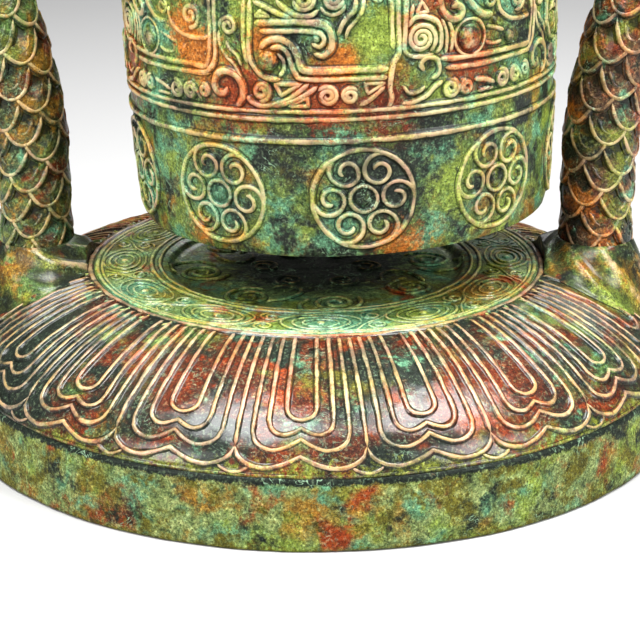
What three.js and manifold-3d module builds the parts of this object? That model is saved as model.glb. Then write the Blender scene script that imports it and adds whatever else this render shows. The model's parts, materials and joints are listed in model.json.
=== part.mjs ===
// A bronze bell hanging between two rising dragons on a round lotus base.
// Millimetres, +Z up. The origin is the centre of the base's underside, and the viewer looks along +Y.
import * as THREE from "three";
import { mergeVertices } from "three/addons/utils/BufferGeometryUtils.js";
import Module from "manifold-3d";

const wasm = await Module();
wasm.setup();

// Driving dimensions

const SEAT_GAP = 0.3; // between pieces that touch
const RUN_GAP = 0.3; // between pieces that turn on each other
const HEAD_GAP = 0.45; // between a head's rounded pieces, whose faces lie closer than their corners

const BASE = {
  margin: 32, // from the middle of each dragon's foot to its edge
  taper: 1.5, // how much smaller its top edge is
  height: 26,
  wall: 5,
  edge: 1.5,
  ledgeWidth: 12,
  ledgeThickness: 3,
  ledgeHeight: 5.4,
};
const DOME = {
  inset: 0.9, // how far its foot lies inside the base's top edge
  height: 31.2, // from the base's top edge to the altar's edge
  wall: 4.5,
  bulge: 0.333, // 0.5 is a quarter of an ellipse, and less is flatter
};
const ALTAR = {
  radius: 86,
  rim: 2.4,
  rimHeight: 0.8,
  thickness: 5,
  ledge: 6,
  boss: 3.2,
  ringRadius: 62,
  ringWidth: 1.6,
  dish: 3,
  dishWall: 4,
};
const COVER = { thickness: 2.1, screws: 4 };
const SCREW = { radius: 1.5, headRadius: 3.2, headHeight: 1.5, length: 7 };

const BODY = {
  room: 12.9, // between the bell and each dragon's foot
  swell: 39, // how far its back swings out past its foot
  footRadius: 15.4,
  waistRadius: 14.6,
  chestRadius: 17,
  neckRadius: 12.5,
  sides: 10,
  steps: 26,
};
const FIN = { thickness: 3.2, height: 13, teeth: 9, start: 145, end: 12, radius: 14, sunk: 4 };
const LEG = { shoulder: 8.5, wrist: 4.6, toe: 2.6 };
const FOOT = { top: 14, skirt: 8, flare: 13, length: 1.1, wall: 2.6 };
const STUD = { radius: 4, grip: 26, washer: 1.6, washerRadius: 9, nut: 6.5, nutRadius: 7.5, tail: 3 };
const BOSS = { radius: 11, depth: 9 };

const HEAD = {
  neckX: 68,
  neckLength: 46, // from the body's last bend to the skull
  neckDrop: 20,
  mouth: 5, // how far the pearl lies below the skull's axis
};
const PEARL = { radius: 15, seatRadius: 10, seatHeight: 7, seatDish: 2.5 };
const FLAME = { height: 28, radius: 8, seat: 9, side: 0.6 };
const YOKE = { into: 16, height: 15, thickness: 15, arch: 7, bevel: 1.5, lobe: 3, lobes: 8 };
const YOKE_PIN = { radius: 2.5, length: 26, out: 13 };

const EYE = { x: 3.2, radius: 6, wire: 2.4, drop: 0.9 }; // bent by x to one side of its shank
const RING = { radius: 12, wire: 2.2 };
const LOOP = { span: 25, bar: 4.2, rise: 26.1 };
const BELL = {
  clearance: 25.4, // from the altar to the rim
  height: 191,
  wall: 4.2,
  lip: 5.2,
  lean: 2, // degrees, towards +X: the bell hangs a little askew
  // outer radius at a height above the rim
  side: [
    [75.8, 0],
    [76.9, 5],
    [78, 20],
    [79.1, 41],
    [79.7, 68],
    [79.3, 94],
    [77.7, 120],
    [74.7, 144],
  ],
  // outer radius at a depth below the crown
  shoulder: [
    [70.1, 27],
    [63.1, 14],
    [52.5, 6.4],
    [37.5, 2],
    [20, 0.3],
  ],
};
// The raised lines of the castings: their height, the width of their roots, and how deep those lie
const LINE = { rise: 0.9, width: 4.4, sunk: 0.8 };
// The bell's ornament. Heights are over the rim. Azimuths are in degrees, from the viewer's side to +X.
const ORNAMENT = {
  bands: [42.3, 51.3, 66, 116], // heights of the ring lines
  bandRoom: 5.5, // no other point of the outline lies nearer to a ring line
  roundels: 9,
  roundelTurn: 6.9,
  roundelHeight: 21.5,
  roundelRadius: 19,
  roundelSides: 8,
  bossRadius: 4.9, // the low boss in the middle of each roundel
  bossTop: 2.7,
  bossSides: 6,
  quarters: 4, // each holds the same panels
  ribs: [-33, -23, 13.4], // azimuths of the panels' upright lines in the first quarter
};
const LOTUS = {
  petals: 19,
  turn: -2.1, // azimuth of the petal that faces the viewer
  // heights as shares of the dome's: a petal's two lobes, the notch between them and the seam's lower end
  lobe: 0.09,
  notch: 0.22,
  seam: 0.305,
  stop: 0.06, // where the seam ends, as a share down from the dome's edge
  lobeAt: 0.52, // where a lobe is lowest, as a share of half a petal
  seamSteps: 3,
  footRoom: 2, // left plain around each dragon's foot
};
const STAPLE = {
  shank: 3,
  eye: 5,
  wire: 2,
  drop: 12,
  nut: 4.5,
  nutRadius: 6,
  washer: 1.2,
  washerRadius: 8.5,
};
const CLAPPER = { eye: 5, wire: 2, rod: 2.8, ball: 14, ballHeight: 38, tail: 22, tailRadius: 6 };

const ROUND = 36; // sides of the large round castings
const SMALL_ROUND = 16;

const rad = THREE.MathUtils.degToRad;

// Places that follow from the bell's radius
const bellRadius = Math.max(...BELL.side.map(([r]) => r));
const bodyX = bellRadius + BODY.room + BODY.footRadius;
const baseRadius = bodyX + BASE.margin;
const baseTopRadius = baseRadius - BASE.taper;
const domeFoot = baseTopRadius - DOME.inset;
const yokeReach = bodyX + YOKE.into;
const pinX = bodyX + YOKE_PIN.out;

// Levels, from the altar up to the dragons' heads
const domeFootZ = BASE.height + SEAT_GAP;
const altarZ = BASE.height + DOME.height; // the altar's edge
const rimZ = altarZ + BELL.clearance;
const barZ = -2 * RING.radius + RING.wire + RUN_GAP + LOOP.bar; // the loop's bar, below the ring's top
const crownZ = barZ - LOOP.rise;
const bellDrop = BELL.height - crownZ; // from the ring's top to the rim, along the leaning line
const ringTopZ = rimZ + bellDrop * Math.cos(rad(BELL.lean)); // the ring's wire, in the eye
const eyeZ = ringTopZ + EYE.radius - EYE.wire - RING.wire - RUN_GAP;
const yokeBottom = eyeZ + EYE.radius + EYE.wire + EYE.drop;
const yokeZ = yokeBottom + YOKE.height / 2;
const seatBottom = yokeBottom + YOKE.height + SEAT_GAP;
const pearlZ = seatBottom + PEARL.seatHeight - PEARL.seatDish + SEAT_GAP + PEARL.radius;
const headZ = pearlZ + HEAD.mouth;

const CAST = new THREE.MeshStandardMaterial({ color: 0x4f6b3c, roughness: 0.42, metalness: 0.55 });
const RUST = new THREE.MeshStandardMaterial({ color: 0x74402a, roughness: 0.4, metalness: 0.5 });
const STEEL = new THREE.MeshStandardMaterial({ color: 0x8b8b86, roughness: 0.4, metalness: 0.9 });

// Solids

const v3 = (x, y, z) => new THREE.Vector3(x, y, z);

function solidOf(geometry) {
  const bare = new THREE.BufferGeometry();
  const source = geometry.index ? geometry.toNonIndexed() : geometry;
  bare.setAttribute("position", source.getAttribute("position"));
  const merged = mergeVertices(bare, 1e-4);
  const kept = [];
  const index = merged.index.array;
  for (let i = 0; i < index.length; i += 3) {
    const [a, b, c] = [index[i], index[i + 1], index[i + 2]];
    if (a !== b && b !== c && c !== a) kept.push(a, b, c);
  }
  const made = new wasm.Manifold(
    new wasm.Mesh({
      numProp: 3,
      vertProperties: new Float32Array(merged.attributes.position.array),
      triVerts: new Uint32Array(kept),
    }),
  );
  if (made.volume() < 0) throw new Error("a solid is inside out");
  return made;
}

function geometryOf(solid) {
  const mesh = solid.getMesh();
  const position = new Float32Array(mesh.numVert * 3);
  for (let i = 0; i < mesh.numVert; i++) {
    position.set(mesh.vertProperties.subarray(i * mesh.numProp, i * mesh.numProp + 3), i * 3);
  }
  const geometry = new THREE.BufferGeometry();
  geometry.setAttribute("position", new THREE.BufferAttribute(position, 3));
  geometry.setIndex(new THREE.BufferAttribute(mesh.triVerts, 1));
  geometry.computeVertexNormals();
  return geometry;
}

const join = (...solids) => solids.reduce((a, b) => a.add(b));
const largest = (solid) => solid.decompose().reduce((a, b) => (a.volume() > b.volume() ? a : b));
const cut = (solid, ...tools) => tools.reduce((a, b) => a.subtract(b), solid);

// Turns an outline of [radius, height] about Z. The outline runs up the outside.
function turned(outline, segments = ROUND) {
  const points = outline.map(([r, z]) => new THREE.Vector2(Math.max(r, 0), z));
  if (outline[0][0] > 0) points.push(points[0].clone());
  const geometry = new THREE.LatheGeometry(points, segments);
  geometry.rotateX(Math.PI / 2);
  return solidOf(geometry);
}

function cylinder(radius, low, high, x = 0, y = 0, segments = SMALL_ROUND) {
  const geometry = new THREE.CylinderGeometry(radius, radius, high - low, segments);
  geometry.rotateX(Math.PI / 2);
  geometry.translate(x, y, (low + high) / 2);
  return solidOf(geometry);
}

function ellipsoid(centre, radii, turn = 0, across = 12, up = 8) {
  const geometry = new THREE.SphereGeometry(1, across, up);
  geometry.rotateX(Math.PI / 2);
  geometry.scale(...radii);
  geometry.rotateY(-turn);
  geometry.translate(...centre);
  return solidOf(geometry);
}

// A ring whose hole runs along Y, or along X when it is turned.
function torus(radius, wire, centre, turnedToX = false, segments = 28, sides = 10) {
  const geometry = new THREE.TorusGeometry(radius, wire, sides, segments);
  if (turnedToX) geometry.rotateY(Math.PI / 2);
  else geometry.rotateX(Math.PI / 2);
  geometry.translate(...centre);
  return solidOf(geometry);
}

// A closed form from its corners' coordinates and its triangles, whichever way round these were listed.
function solidFrom(position, index) {
  const build = (order) => {
    const geometry = new THREE.BufferGeometry();
    geometry.setAttribute("position", new THREE.BufferAttribute(new Float32Array(position), 3));
    geometry.setIndex(order);
    return geometry;
  };
  try {
    return solidOf(build(index));
  } catch {
    const turnedRound = [];
    for (let i = 0; i < index.length; i += 3) {
      turnedRound.push(index[i], index[i + 2], index[i + 1]);
    }
    return solidOf(build(turnedRound));
  }
}

// A raised line with a triangular section. Each point of the path holds a place on a skin and its normal.
function ridge(path, closed = false) {
  const count = path.length;
  const position = [];
  path.forEach(({ place, normal }, i) => {
    const before = path[closed ? (i + count - 1) % count : Math.max(i - 1, 0)].place;
    const after = path[closed ? (i + 1) % count : Math.min(i + 1, count - 1)].place;
    const across = after.clone().sub(before).cross(normal).setLength(LINE.width / 2);
    const root = place.clone().addScaledVector(normal, -LINE.sunk);
    const crest = place.clone().addScaledVector(normal, LINE.rise);
    for (const p of [root.clone().add(across), crest, root.clone().sub(across)]) {
      position.push(p.x, p.y, p.z);
    }
  });
  const index = [];
  const sides = 3;
  for (let i = 0; i < (closed ? count : count - 1); i++) {
    const next = (i + 1) % count;
    for (let k = 0; k < sides; k++) {
      const [a, b] = [i * sides + k, i * sides + ((k + 1) % sides)];
      const [c, d] = [next * sides + ((k + 1) % sides), next * sides + k];
      index.push(a, b, c, a, c, d);
    }
  }
  if (!closed) {
    const last = (count - 1) * sides;
    index.push(0, 2, 1, last, last + 1, last + 2);
  }
  return solidFrom(position, index);
}

// A round or oval bar along a smooth line through the points. radii holds one radius for each point.
function tapered(points, radii, { sides = 10, steps = 16, squash = 1 } = {}) {
  const curve = new THREE.CatmullRomCurve3(points);
  const frames = curve.computeFrenetFrames(steps);
  const at = (t) => {
    const place = Math.min(t, 1 - 1e-9) * (radii.length - 1);
    const i = Math.floor(place);
    return THREE.MathUtils.lerp(radii[i], radii[i + 1], THREE.MathUtils.smoothstep(place - i, 0, 1));
  };
  const position = [];
  for (let s = 0; s <= steps; s++) {
    const t = s / steps;
    const u = curve.getUtoTmapping(t);
    const centre = curve.getPoint(u);
    for (let k = 0; k < sides; k++) {
      const a = (k / sides) * 2 * Math.PI;
      const across = frames.binormals[s].clone().multiplyScalar(Math.cos(a) * at(u));
      const out = frames.normals[s].clone().multiplyScalar(Math.sin(a) * at(u) * squash);
      const p = centre.clone().add(across).add(out);
      position.push(p.x, p.y, p.z);
    }
  }
  const first = position.length / 3;
  for (const t of [0, 1]) {
    const p = curve.getPoint(t);
    position.push(p.x, p.y, p.z);
  }
  const index = [];
  for (let s = 0; s < steps; s++) {
    for (let k = 0; k < sides; k++) {
      const a = s * sides + k;
      const b = s * sides + ((k + 1) % sides);
      index.push(a, b, b + sides, a, b + sides, a + sides);
    }
  }
  const last = steps * sides;
  for (let k = 0; k < sides; k++) {
    const next = (k + 1) % sides;
    index.push(first, next, k, first + 1, last + k, last + next);
  }
  return solidFrom(position, index);
}

const root = new THREE.Group();

function place(name, solid, material, parent = root) {
  const mesh = new THREE.Mesh(geometryOf(solid), material);
  mesh.name = name;
  parent.add(mesh);
  return mesh;
}

// Base: plinth, lotus dome, altar disc and bottom cover

// Height of the dome's outer face at a radius.
function domeTopAt(radius) {
  const share = (radius - ALTAR.radius) / (domeFoot - ALTAR.radius);
  const power = 1 / (1 - DOME.bulge);
  return domeFootZ + (altarZ - domeFootZ) * (1 - Math.max(share, 0) ** power) ** (1 / power);
}

function domeOutline(grow = 0) {
  const outline = [];
  const count = 5;
  for (let i = 0; i <= count; i++) {
    const a = ((count - i) / count) * (Math.PI / 2);
    const share = Math.sin(a);
    const radius = ALTAR.radius + (domeFoot - ALTAR.radius) * share;
    outline.push([radius + grow * share, domeTopAt(radius) + grow * Math.cos(a)]);
  }
  return outline;
}

// A point of the dome's skin at an azimuth and at a share of the dome's height, with the skin's normal.
function onDome(azimuth, share) {
  const tall = altarZ - domeFootZ;
  const height = share * tall;
  const power = 1 / (1 - DOME.bulge);
  const inner = ALTAR.radius;
  const at = (h) => inner + (domeFoot - inner) * (1 - (h / tall) ** power) ** (1 / power);
  const step = 0.1;
  const slope = (at(height + step) - at(height - step)) / (2 * step);
  const out = v3(Math.sin(rad(azimuth)), -Math.cos(rad(azimuth)), 0);
  const place = out.clone().multiplyScalar(at(height)).setZ(domeFootZ + height);
  return { place, normal: out.clone().setZ(-slope).normalize() };
}

// The petals' raised lines: a seam between two petals, and each petal's two lobes with a notch between.
// The petals under the dragons' feet are left plain.
function petalLines() {
  const half = 180 / LOTUS.petals;
  const { seam, notch, lobe, lobeAt, stop, seamSteps, footRoom } = LOTUS;
  const hidden = (BODY.footRadius + FOOT.flare + footRoom) / bodyX; // as the cosine of an azimuth
  const shows = (azimuth) => Math.abs(Math.cos(rad(azimuth))) > hidden;
  const edge = [[-1, seam], [-lobeAt, lobe], [0, notch], [lobeAt, lobe], [1, seam]];
  const lines = [];
  for (let i = 0; i < LOTUS.petals; i++) {
    const middle = LOTUS.turn + 2 * half * i;
    if (!shows(middle + half)) continue;
    const reach = 1 - stop - seam;
    const heights = Array.from({ length: seamSteps + 1 }, (_, k) => seam + (reach * k) / seamSteps);
    lines.push(ridge(heights.map((height) => onDome(middle + half, height))));
    if (!shows(middle - half)) continue;
    lines.push(ridge(edge.map(([share, height]) => onDome(middle + share * half, height))));
  }
  return lines;
}

function plinthRing() {
  const inner = baseRadius - BASE.wall;
  const ledge = inner - BASE.ledgeWidth;
  return turned([
    [inner, 0],
    [baseRadius - BASE.edge, 0],
    [baseRadius, BASE.edge],
    [baseTopRadius + BASE.edge / 3, BASE.height - BASE.edge],
    [baseTopRadius - BASE.edge / 2, BASE.height],
    [inner - BASE.edge, BASE.height],
    [inner - BASE.edge, BASE.ledgeHeight + BASE.ledgeThickness],
    [ledge, BASE.ledgeHeight + BASE.ledgeThickness],
    [ledge, BASE.ledgeHeight],
    [inner, BASE.ledgeHeight],
  ]);
}

const bossBottom = domeTopAt(bodyX) - DOME.wall - BOSS.depth;
const studBore = STUD.radius + SEAT_GAP;

function lotusDome() {
  const outer = domeOutline();
  const inner = outer
    .map(([r, z]) => [r - DOME.wall, z - DOME.wall])
    .filter(([r, z]) => r > ALTAR.radius && z > domeFootZ)
    .reverse();
  const ledgeTop = altarZ - ALTAR.thickness;
  const ledgeInner = ALTAR.radius - ALTAR.ledge;
  const shell = turned([
    ...outer,
    [ALTAR.radius, ledgeTop],
    [ledgeInner, ledgeTop],
    [ledgeInner, ledgeTop - DOME.wall],
    ...inner,
    [domeFoot - DOME.wall, domeFootZ],
  ]);
  const half = DOME.wall / 2;
  const underSkin = turned([[0, 0], [domeFoot - half, 0], ...domeOutline(-half), [0, altarZ - half]]);
  const bosses = [-1, 1].map((side) =>
    cylinder(BOSS.radius, bossBottom, altarZ, side * bodyX).intersect(underSkin),
  );
  const holes = [-1, 1].map((side) => cylinder(studBore, 0, 2 * altarZ, side * bodyX));
  return cut(join(shell, ...bosses, ...petalLines()), ...holes);
}

function altarDisc() {
  const edge = ALTAR.radius - SEAT_GAP;
  const bottom = altarZ - ALTAR.thickness + SEAT_GAP;
  const boss = ALTAR.radius - ALTAR.ledge - SEAT_GAP;
  const ring = ALTAR.ringRadius;
  const half = ALTAR.ringWidth / 2;
  const raised = altarZ + ALTAR.rimHeight;
  return turned([
    [0, bottom - ALTAR.boss],
    [boss, bottom - ALTAR.boss],
    [boss, bottom],
    [edge, bottom],
    [edge, altarZ],
    [edge - ALTAR.rimHeight, raised],
    [edge - ALTAR.rim, raised],
    [edge - ALTAR.rim - ALTAR.rimHeight, altarZ],
    [ring + half + ALTAR.rimHeight, altarZ],
    [ring + half, raised],
    [ring - half, raised],
    [ring - half - ALTAR.dishWall, altarZ - ALTAR.dish * 0.8],
    [ring - half - 3 * ALTAR.dishWall, altarZ - ALTAR.dish],
    [0, altarZ - ALTAR.dish],
  ]);
}

const coverRadius = baseRadius - BASE.wall - SEAT_GAP;
const coverTop = BASE.ledgeHeight - SEAT_GAP;
const screwCircle = coverRadius - BASE.ledgeWidth / 2;

function screwPlaces() {
  return Array.from({ length: COVER.screws }, (_, i) => {
    const a = ((i + 0.5) / COVER.screws) * 2 * Math.PI;
    return [screwCircle * Math.cos(a), screwCircle * Math.sin(a)];
  });
}

place(
  "plinth_ring",
  cut(
    plinthRing(),
    ...screwPlaces().map(([x, y]) => cylinder(SCREW.radius + SEAT_GAP, 0, BASE.height / 2, x, y, 12)),
  ),
  CAST,
);
place("lotus_dome", lotusDome(), RUST);
place("altar_disc", altarDisc(), CAST);
place(
  "bottom_cover",
  cut(
    cylinder(coverRadius, coverTop - COVER.thickness, coverTop, 0, 0, ROUND),
    ...screwPlaces().map(([x, y]) => cylinder(SCREW.radius + SEAT_GAP, 0, BASE.height / 2, x, y, 12)),
  ),
  CAST,
);
screwPlaces().forEach(([x, y], i) => {
  const seat = coverTop - COVER.thickness - SEAT_GAP;
  place(
    `cover_screw_${i + 1}`,
    join(
      cylinder(SCREW.headRadius, seat - SCREW.headHeight, seat, x, y, 12),
      cylinder(SCREW.radius, seat - SCREW.headHeight / 2, seat + SCREW.length, x, y, 12),
    ),
    STEEL,
  );
});

// Dragons: body, foot and the stud that holds each one down

// The middle line of the dragon on the +X side, from the foot to the neck.
const faceZ = domeTopAt(bodyX);
const rising = [
  [0, 0.13],
  [0.05, 0.218],
  [0.28, 0.328],
  [0.59, 0.433],
  [0.85, 0.54],
  [1, 0.648],
  [0.95, 0.755],
  [0.67, 0.856],
].map(([out, up]) => v3(bodyX + BODY.swell * out, 0, faceZ + (headZ - faceZ) * up));
const bodyLine = [
  v3(bodyX, 0, domeTopAt(bodyX + BODY.footRadius) - DOME.wall),
  ...rising,
  v3(HEAD.neckX + HEAD.neckLength, 0, headZ - HEAD.neckDrop),
  v3(HEAD.neckX + HEAD.neckLength * 0.52, 0, headZ - HEAD.neckDrop * 0.25),
  v3(HEAD.neckX, 0, headZ),
];
const bodyRadii = [
  BODY.footRadius,
  BODY.waistRadius,
  15,
  15.6,
  16.4,
  BODY.chestRadius,
  BODY.chestRadius,
  BODY.chestRadius,
  16,
  14.6,
  13.4,
  BODY.neckRadius,
];

const mirrored = (solid) => solid.scale([-1, 1, 1]);
const domeGuard = turned([[0, 0], [baseRadius, 0], ...domeOutline(SEAT_GAP), [0, altarZ + SEAT_GAP]]);
const altarGuard = cylinder(ALTAR.radius + SEAT_GAP, 0, altarZ + 4, 0, 0, ROUND);
const studTop = domeTopAt(bodyX) + STUD.grip;

// Half the height of the yoke's cloud outline, which swells in lobes, and its middle line.
const cloud = (x) => Math.abs(Math.cos(((x / yokeReach) * YOKE.lobes * Math.PI) / 2));
const yokeHalf = (x) => YOKE.height / 2 - YOKE.lobe * (1 - cloud(x));
const yokeMiddle = (x) => yokeZ - YOKE.arch * (x / yokeReach) ** 2;

function yokeBar(grow = 0) {
  const outline = [];
  const count = 4 * YOKE.lobes;
  for (let i = 0; i <= count; i++) {
    const x = yokeReach * ((2 * i) / count - 1);
    outline.push([x, yokeHalf(x)]);
  }
  const edge = grow - YOKE.bevel;
  const points = [
    ...outline.map(([x, half]) => new THREE.Vector2(x, yokeMiddle(x) - half - edge)),
    ...outline.reverse().map(([x, half]) => new THREE.Vector2(x, yokeMiddle(x) + half + edge)),
  ];
  const depth = YOKE.thickness - 2 * YOKE.bevel + 2 * grow;
  const geometry = new THREE.ExtrudeGeometry(new THREE.Shape(points), {
    depth,
    bevelEnabled: grow === 0,
    bevelThickness: YOKE.bevel,
    bevelSize: YOKE.bevel,
    bevelSegments: 1,
    steps: 1,
  });
  geometry.translate(0, 0, -depth / 2);
  geometry.rotateX(Math.PI / 2);
  if (grow > 0) geometry.scale(1, (YOKE.thickness + 2 * grow) / depth, 1);
  return solidOf(geometry);
}

// A bar along X.
function crossBar(radius, from, to, z, segments = SMALL_ROUND) {
  const geometry = new THREE.CylinderGeometry(radius, radius, to - from, segments);
  geometry.rotateZ(-Math.PI / 2);
  geometry.translate((from + to) / 2, 0, z);
  return solidOf(geometry);
}

// The toothed crest along the dragon's back, on the outer side of its curve.
function crest() {
  const curve = new THREE.CatmullRomCurve3(bodyLine);
  const length = curve.getLength();
  const outer = [];
  const inner = [];
  const count = 2 * FIN.teeth;
  for (let i = 0; i <= count; i++) {
    const share = i / count;
    const t = (FIN.start + (length - FIN.end - FIN.start) * share) / length;
    const p = curve.getPointAt(t);
    const along = curve.getTangentAt(t);
    const tooth = i % 2 ? 1 : 0.55;
    const growth = Math.sin((Math.min(1, share * 1.6 + 0.15) * Math.PI) / 2);
    const rise = FIN.height * tooth * growth * (share > 0.9 ? 0.7 : 1);
    const off = (d) => new THREE.Vector2(p.x + along.z * d, p.z - along.x * d);
    outer.push(off(FIN.radius + rise));
    inner.push(off(FIN.radius - FIN.sunk));
  }
  const geometry = new THREE.ExtrudeGeometry(new THREE.Shape([...outer, ...inner.reverse()]), {
    depth: FIN.thickness,
    bevelEnabled: false,
    steps: 1,
  });
  geometry.translate(0, 0, -FIN.thickness / 2);
  geometry.rotateX(Math.PI / 2);
  return solidOf(geometry);
}

// A foreleg that reaches in from the chest and holds the yoke with three claws.
function foreleg(side) {
  const at = (out, aside, up) => v3(bodyX + out, side * aside, yokeZ + up);
  const wrist = at(0, 15, -14);
  const arm = tapered(
    [at(30, 6, -37), at(19, 21, -38), at(7, 22, -28), wrist],
    [LEG.shoulder, LEG.shoulder * 0.8, LEG.wrist * 1.15, LEG.wrist],
    { sides: 7, steps: 6 },
  );
  const toes = [0, 1, 2].map((i) =>
    tapered(
      [wrist, at(-4 - 4 * i, 15.5, -5 - 3 * i), at(-6 - 5 * i, 11.2, 3 - 5 * i)],
      [LEG.toe * 1.2, LEG.toe, 0.8],
      { sides: 5, steps: 3 },
    ),
  );
  return join(arm, ...toes);
}

const pinZ = yokeMiddle(pinX);
const yokePinRoom = crossBar(
  YOKE_PIN.radius + SEAT_GAP,
  pinX - YOKE_PIN.length / 2 - SEAT_GAP,
  pinX + YOKE_PIN.length / 2 + SEAT_GAP,
  pinZ,
  12,
);

function dragonBody() {
  const bar = tapered(bodyLine, bodyRadii, bodyMesh);
  const legs = [-1, 1].map((side) => cut(foreleg(side), yokeBar(SEAT_GAP)));
  const studRoom = cylinder(studBore, 0, studTop + SEAT_GAP, bodyX);
  return cut(join(bar, crest(), ...legs), domeGuard, studRoom, yokePinRoom);
}

// A flared wave collar around the dragon's foot, on the dome.
function waveFoot() {
  const low = domeFootZ;
  const top = domeTopAt(bodyX) + FOOT.top;
  const bore = BODY.footRadius + SEAT_GAP + 0.4;
  const flare = (share) => bore + FOOT.wall + (FOOT.flare - FOOT.wall) * share ** 2.2;
  const outline = [[0, low], [flare(1), low]];
  const count = 5;
  const middle = domeTopAt(bodyX) - FOOT.skirt;
  for (let i = 0; i <= count; i++) {
    outline.push([flare(1 - i / count), middle + ((top - middle) * i) / count]);
  }
  outline.push([0, top]);
  const lump = turned(outline, 20).scale([0.92, FOOT.length, 1]).translate([bodyX, 0, 0]);
  const bodyRoom = cylinder(bore, 0, 2 * top, bodyX, 0, 20);
  const inBase = cylinder(baseTopRadius - SEAT_GAP, 0, 2 * top, 0, 0, ROUND);
  return cut(lump, domeGuard, altarGuard, bodyRoom).intersect(inBase);
}

function footStud() {
  return cylinder(STUD.radius, bossBottom - STUD.washer - STUD.nut - STUD.tail, studTop, bodyX);
}

function footWasher() {
  const top = bossBottom - SEAT_GAP;
  const plate = cylinder(STUD.washerRadius, top - STUD.washer, top, bodyX);
  return cut(plate, cylinder(studBore, 0, altarZ, bodyX));
}

function footNut() {
  const top = bossBottom - 2 * SEAT_GAP - STUD.washer;
  const hexagon = cylinder(STUD.nutRadius, top - STUD.nut, top, bodyX, 0, 6);
  return cut(hexagon, cylinder(studBore, 0, altarZ, bodyX));
}

// Dragon head, drawn with its snout towards +X and its neck at the origin

// grow widens a form all over, for the room that its neighbours leave around it.
function skull(grow = 0) {
  const oval = (centre, radii, turn, across, up) =>
    ellipsoid(centre, radii.map((r) => r + grow), turn, across, up);
  const pieces = [
    oval([6, 0, 2], [17, 13.5, 13], 0, 12, 6),
    oval([20, 0, 4], [16, 11.5, 10], 0, 10, 6),
    oval([38, 0, 8], [17, 9, 7], 0.1, 10, 6),
  ];
  for (const side of [-1, 1]) {
    pieces.push(oval([50, side * 5, 14], [5.5, 3.8, 4.4], 0, 8, 4));
    pieces.push(oval([19, side * 7.5, 13], [9, 4, 3.8], 0.25, 8, 4));
    pieces.push(oval([21, side * 9.2, 8.6], [4.4, 3.4, 4.2], 0, 8, 4));
    pieces.push(
      tapered(
        [v3(4, side * 11, 6), v3(-6, side * 18, 9), v3(-17 - grow, side * 21, 8)],
        [4.6, 4.2, 0.8].map((r) => r + grow),
        { sides: 6, steps: 3, squash: 0.5 + grow / 4.6 },
      ),
    );
  }
  return join(...pieces);
}

function lowerJaw(grow = 0) {
  const jaw = tapered(
    [v3(6, 0, -8), v3(20, 0, -12), v3(36, 0, -16), v3(51 + grow, 0, -13)],
    [9, 8.4, 7.4, 4.6].map((r) => r + grow),
    { sides: 10, steps: 5, squash: 0.62 + grow / 9 },
  );
  const beard = [-1, 1].map((side) =>
    tapered(
      [
        v3(38, side * 5, -17),
        v3(34, side * 11.5, -22),
        v3(25, side * 12.5, -28),
        v3(17, side * 12.5, -25),
      ],
      [3.2, 3, 2.2, 0.8].map((r) => r + grow),
      { sides: 5, steps: 5 },
    ),
  );
  return join(jaw, ...beard);
}

function horn(side, grow = 0) {
  return tapered(
    [
      v3(12, side * 6.5, 13),
      v3(2, side * 10, 24),
      v3(-12, side * 13, 31),
      v3(-28, side * 14, 32),
      v3(-41, side * 16, 39),
    ],
    [4.2, 3.9, 3.4, 2.6, 0.8].map((r) => r + grow),
    { sides: 7, steps: 8 },
  );
}

// Locks of the mane, which sweep back along the neck.
function maneLock(side, height, spread, reach) {
  return tapered(
    [
      v3(3, side * spread * 0.5, height * 0.6),
      v3(-8, side * spread * 0.85, height),
      v3(-20, side * spread, height * 0.86),
      v3(-reach, side * spread * 1.12, height * 1.2),
    ],
    [4.6, 5.2, 4, 0.8],
    { sides: 5, steps: 5, squash: 0.6 },
  );
}

function mane() {
  const locks = [ellipsoid([-3, 0, 1], [9, 14.5, 14], 0, 10, 6)];
  for (const side of [-1, 1]) {
    locks.push(maneLock(side, 15, 8, 38));
    locks.push(maneLock(side, 4, 15.5, 36));
    locks.push(maneLock(side, -11, 13, 32));
  }
  return join(...locks);
}

const ball = (centre, radius) => ellipsoid(centre, [radius, radius, radius], 0, 14, 8);
const pearlGuard = ball([HEAD.neckX, 0, -HEAD.mouth], PEARL.radius + SEAT_GAP);
const toPlace = (solid) => solid.scale([-1, 1, 1]).translate([HEAD.neckX, 0, headZ]);

const bodyMesh = { sides: BODY.sides, steps: BODY.steps };
const neckTool = tapered(bodyLine, bodyRadii.map((r) => r + SEAT_GAP), bodyMesh);
const room = HEAD_GAP;
const bodySolid = dragonBody();
const skullSolid = cut(toPlace(cut(skull(), pearlGuard)), neckTool);
const jawSolid = largest(cut(toPlace(cut(lowerJaw(), pearlGuard, skull(room))), neckTool));
const hornSolids = [-1, 1].map((side) => largest(toPlace(cut(horn(side), skull(room)))));
const maneSolid = largest(
  cut(toPlace(cut(mane(), skull(room), lowerJaw(room), horn(-1, room), horn(1, room))), neckTool),
);

function yoke() {
  const ends = [1, -1].map((way) => join(neckTool, yokePinRoom).scale([way, 1, 1]));
  return cut(yokeBar(), ...ends, shankRoom);
}

const boltTop = pearlZ + PEARL.radius + FLAME.seat;
const shankRoom = cylinder(EYE.wire + SEAT_GAP, eyeZ, boltTop + SEAT_GAP, 0, 0, 12);

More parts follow.
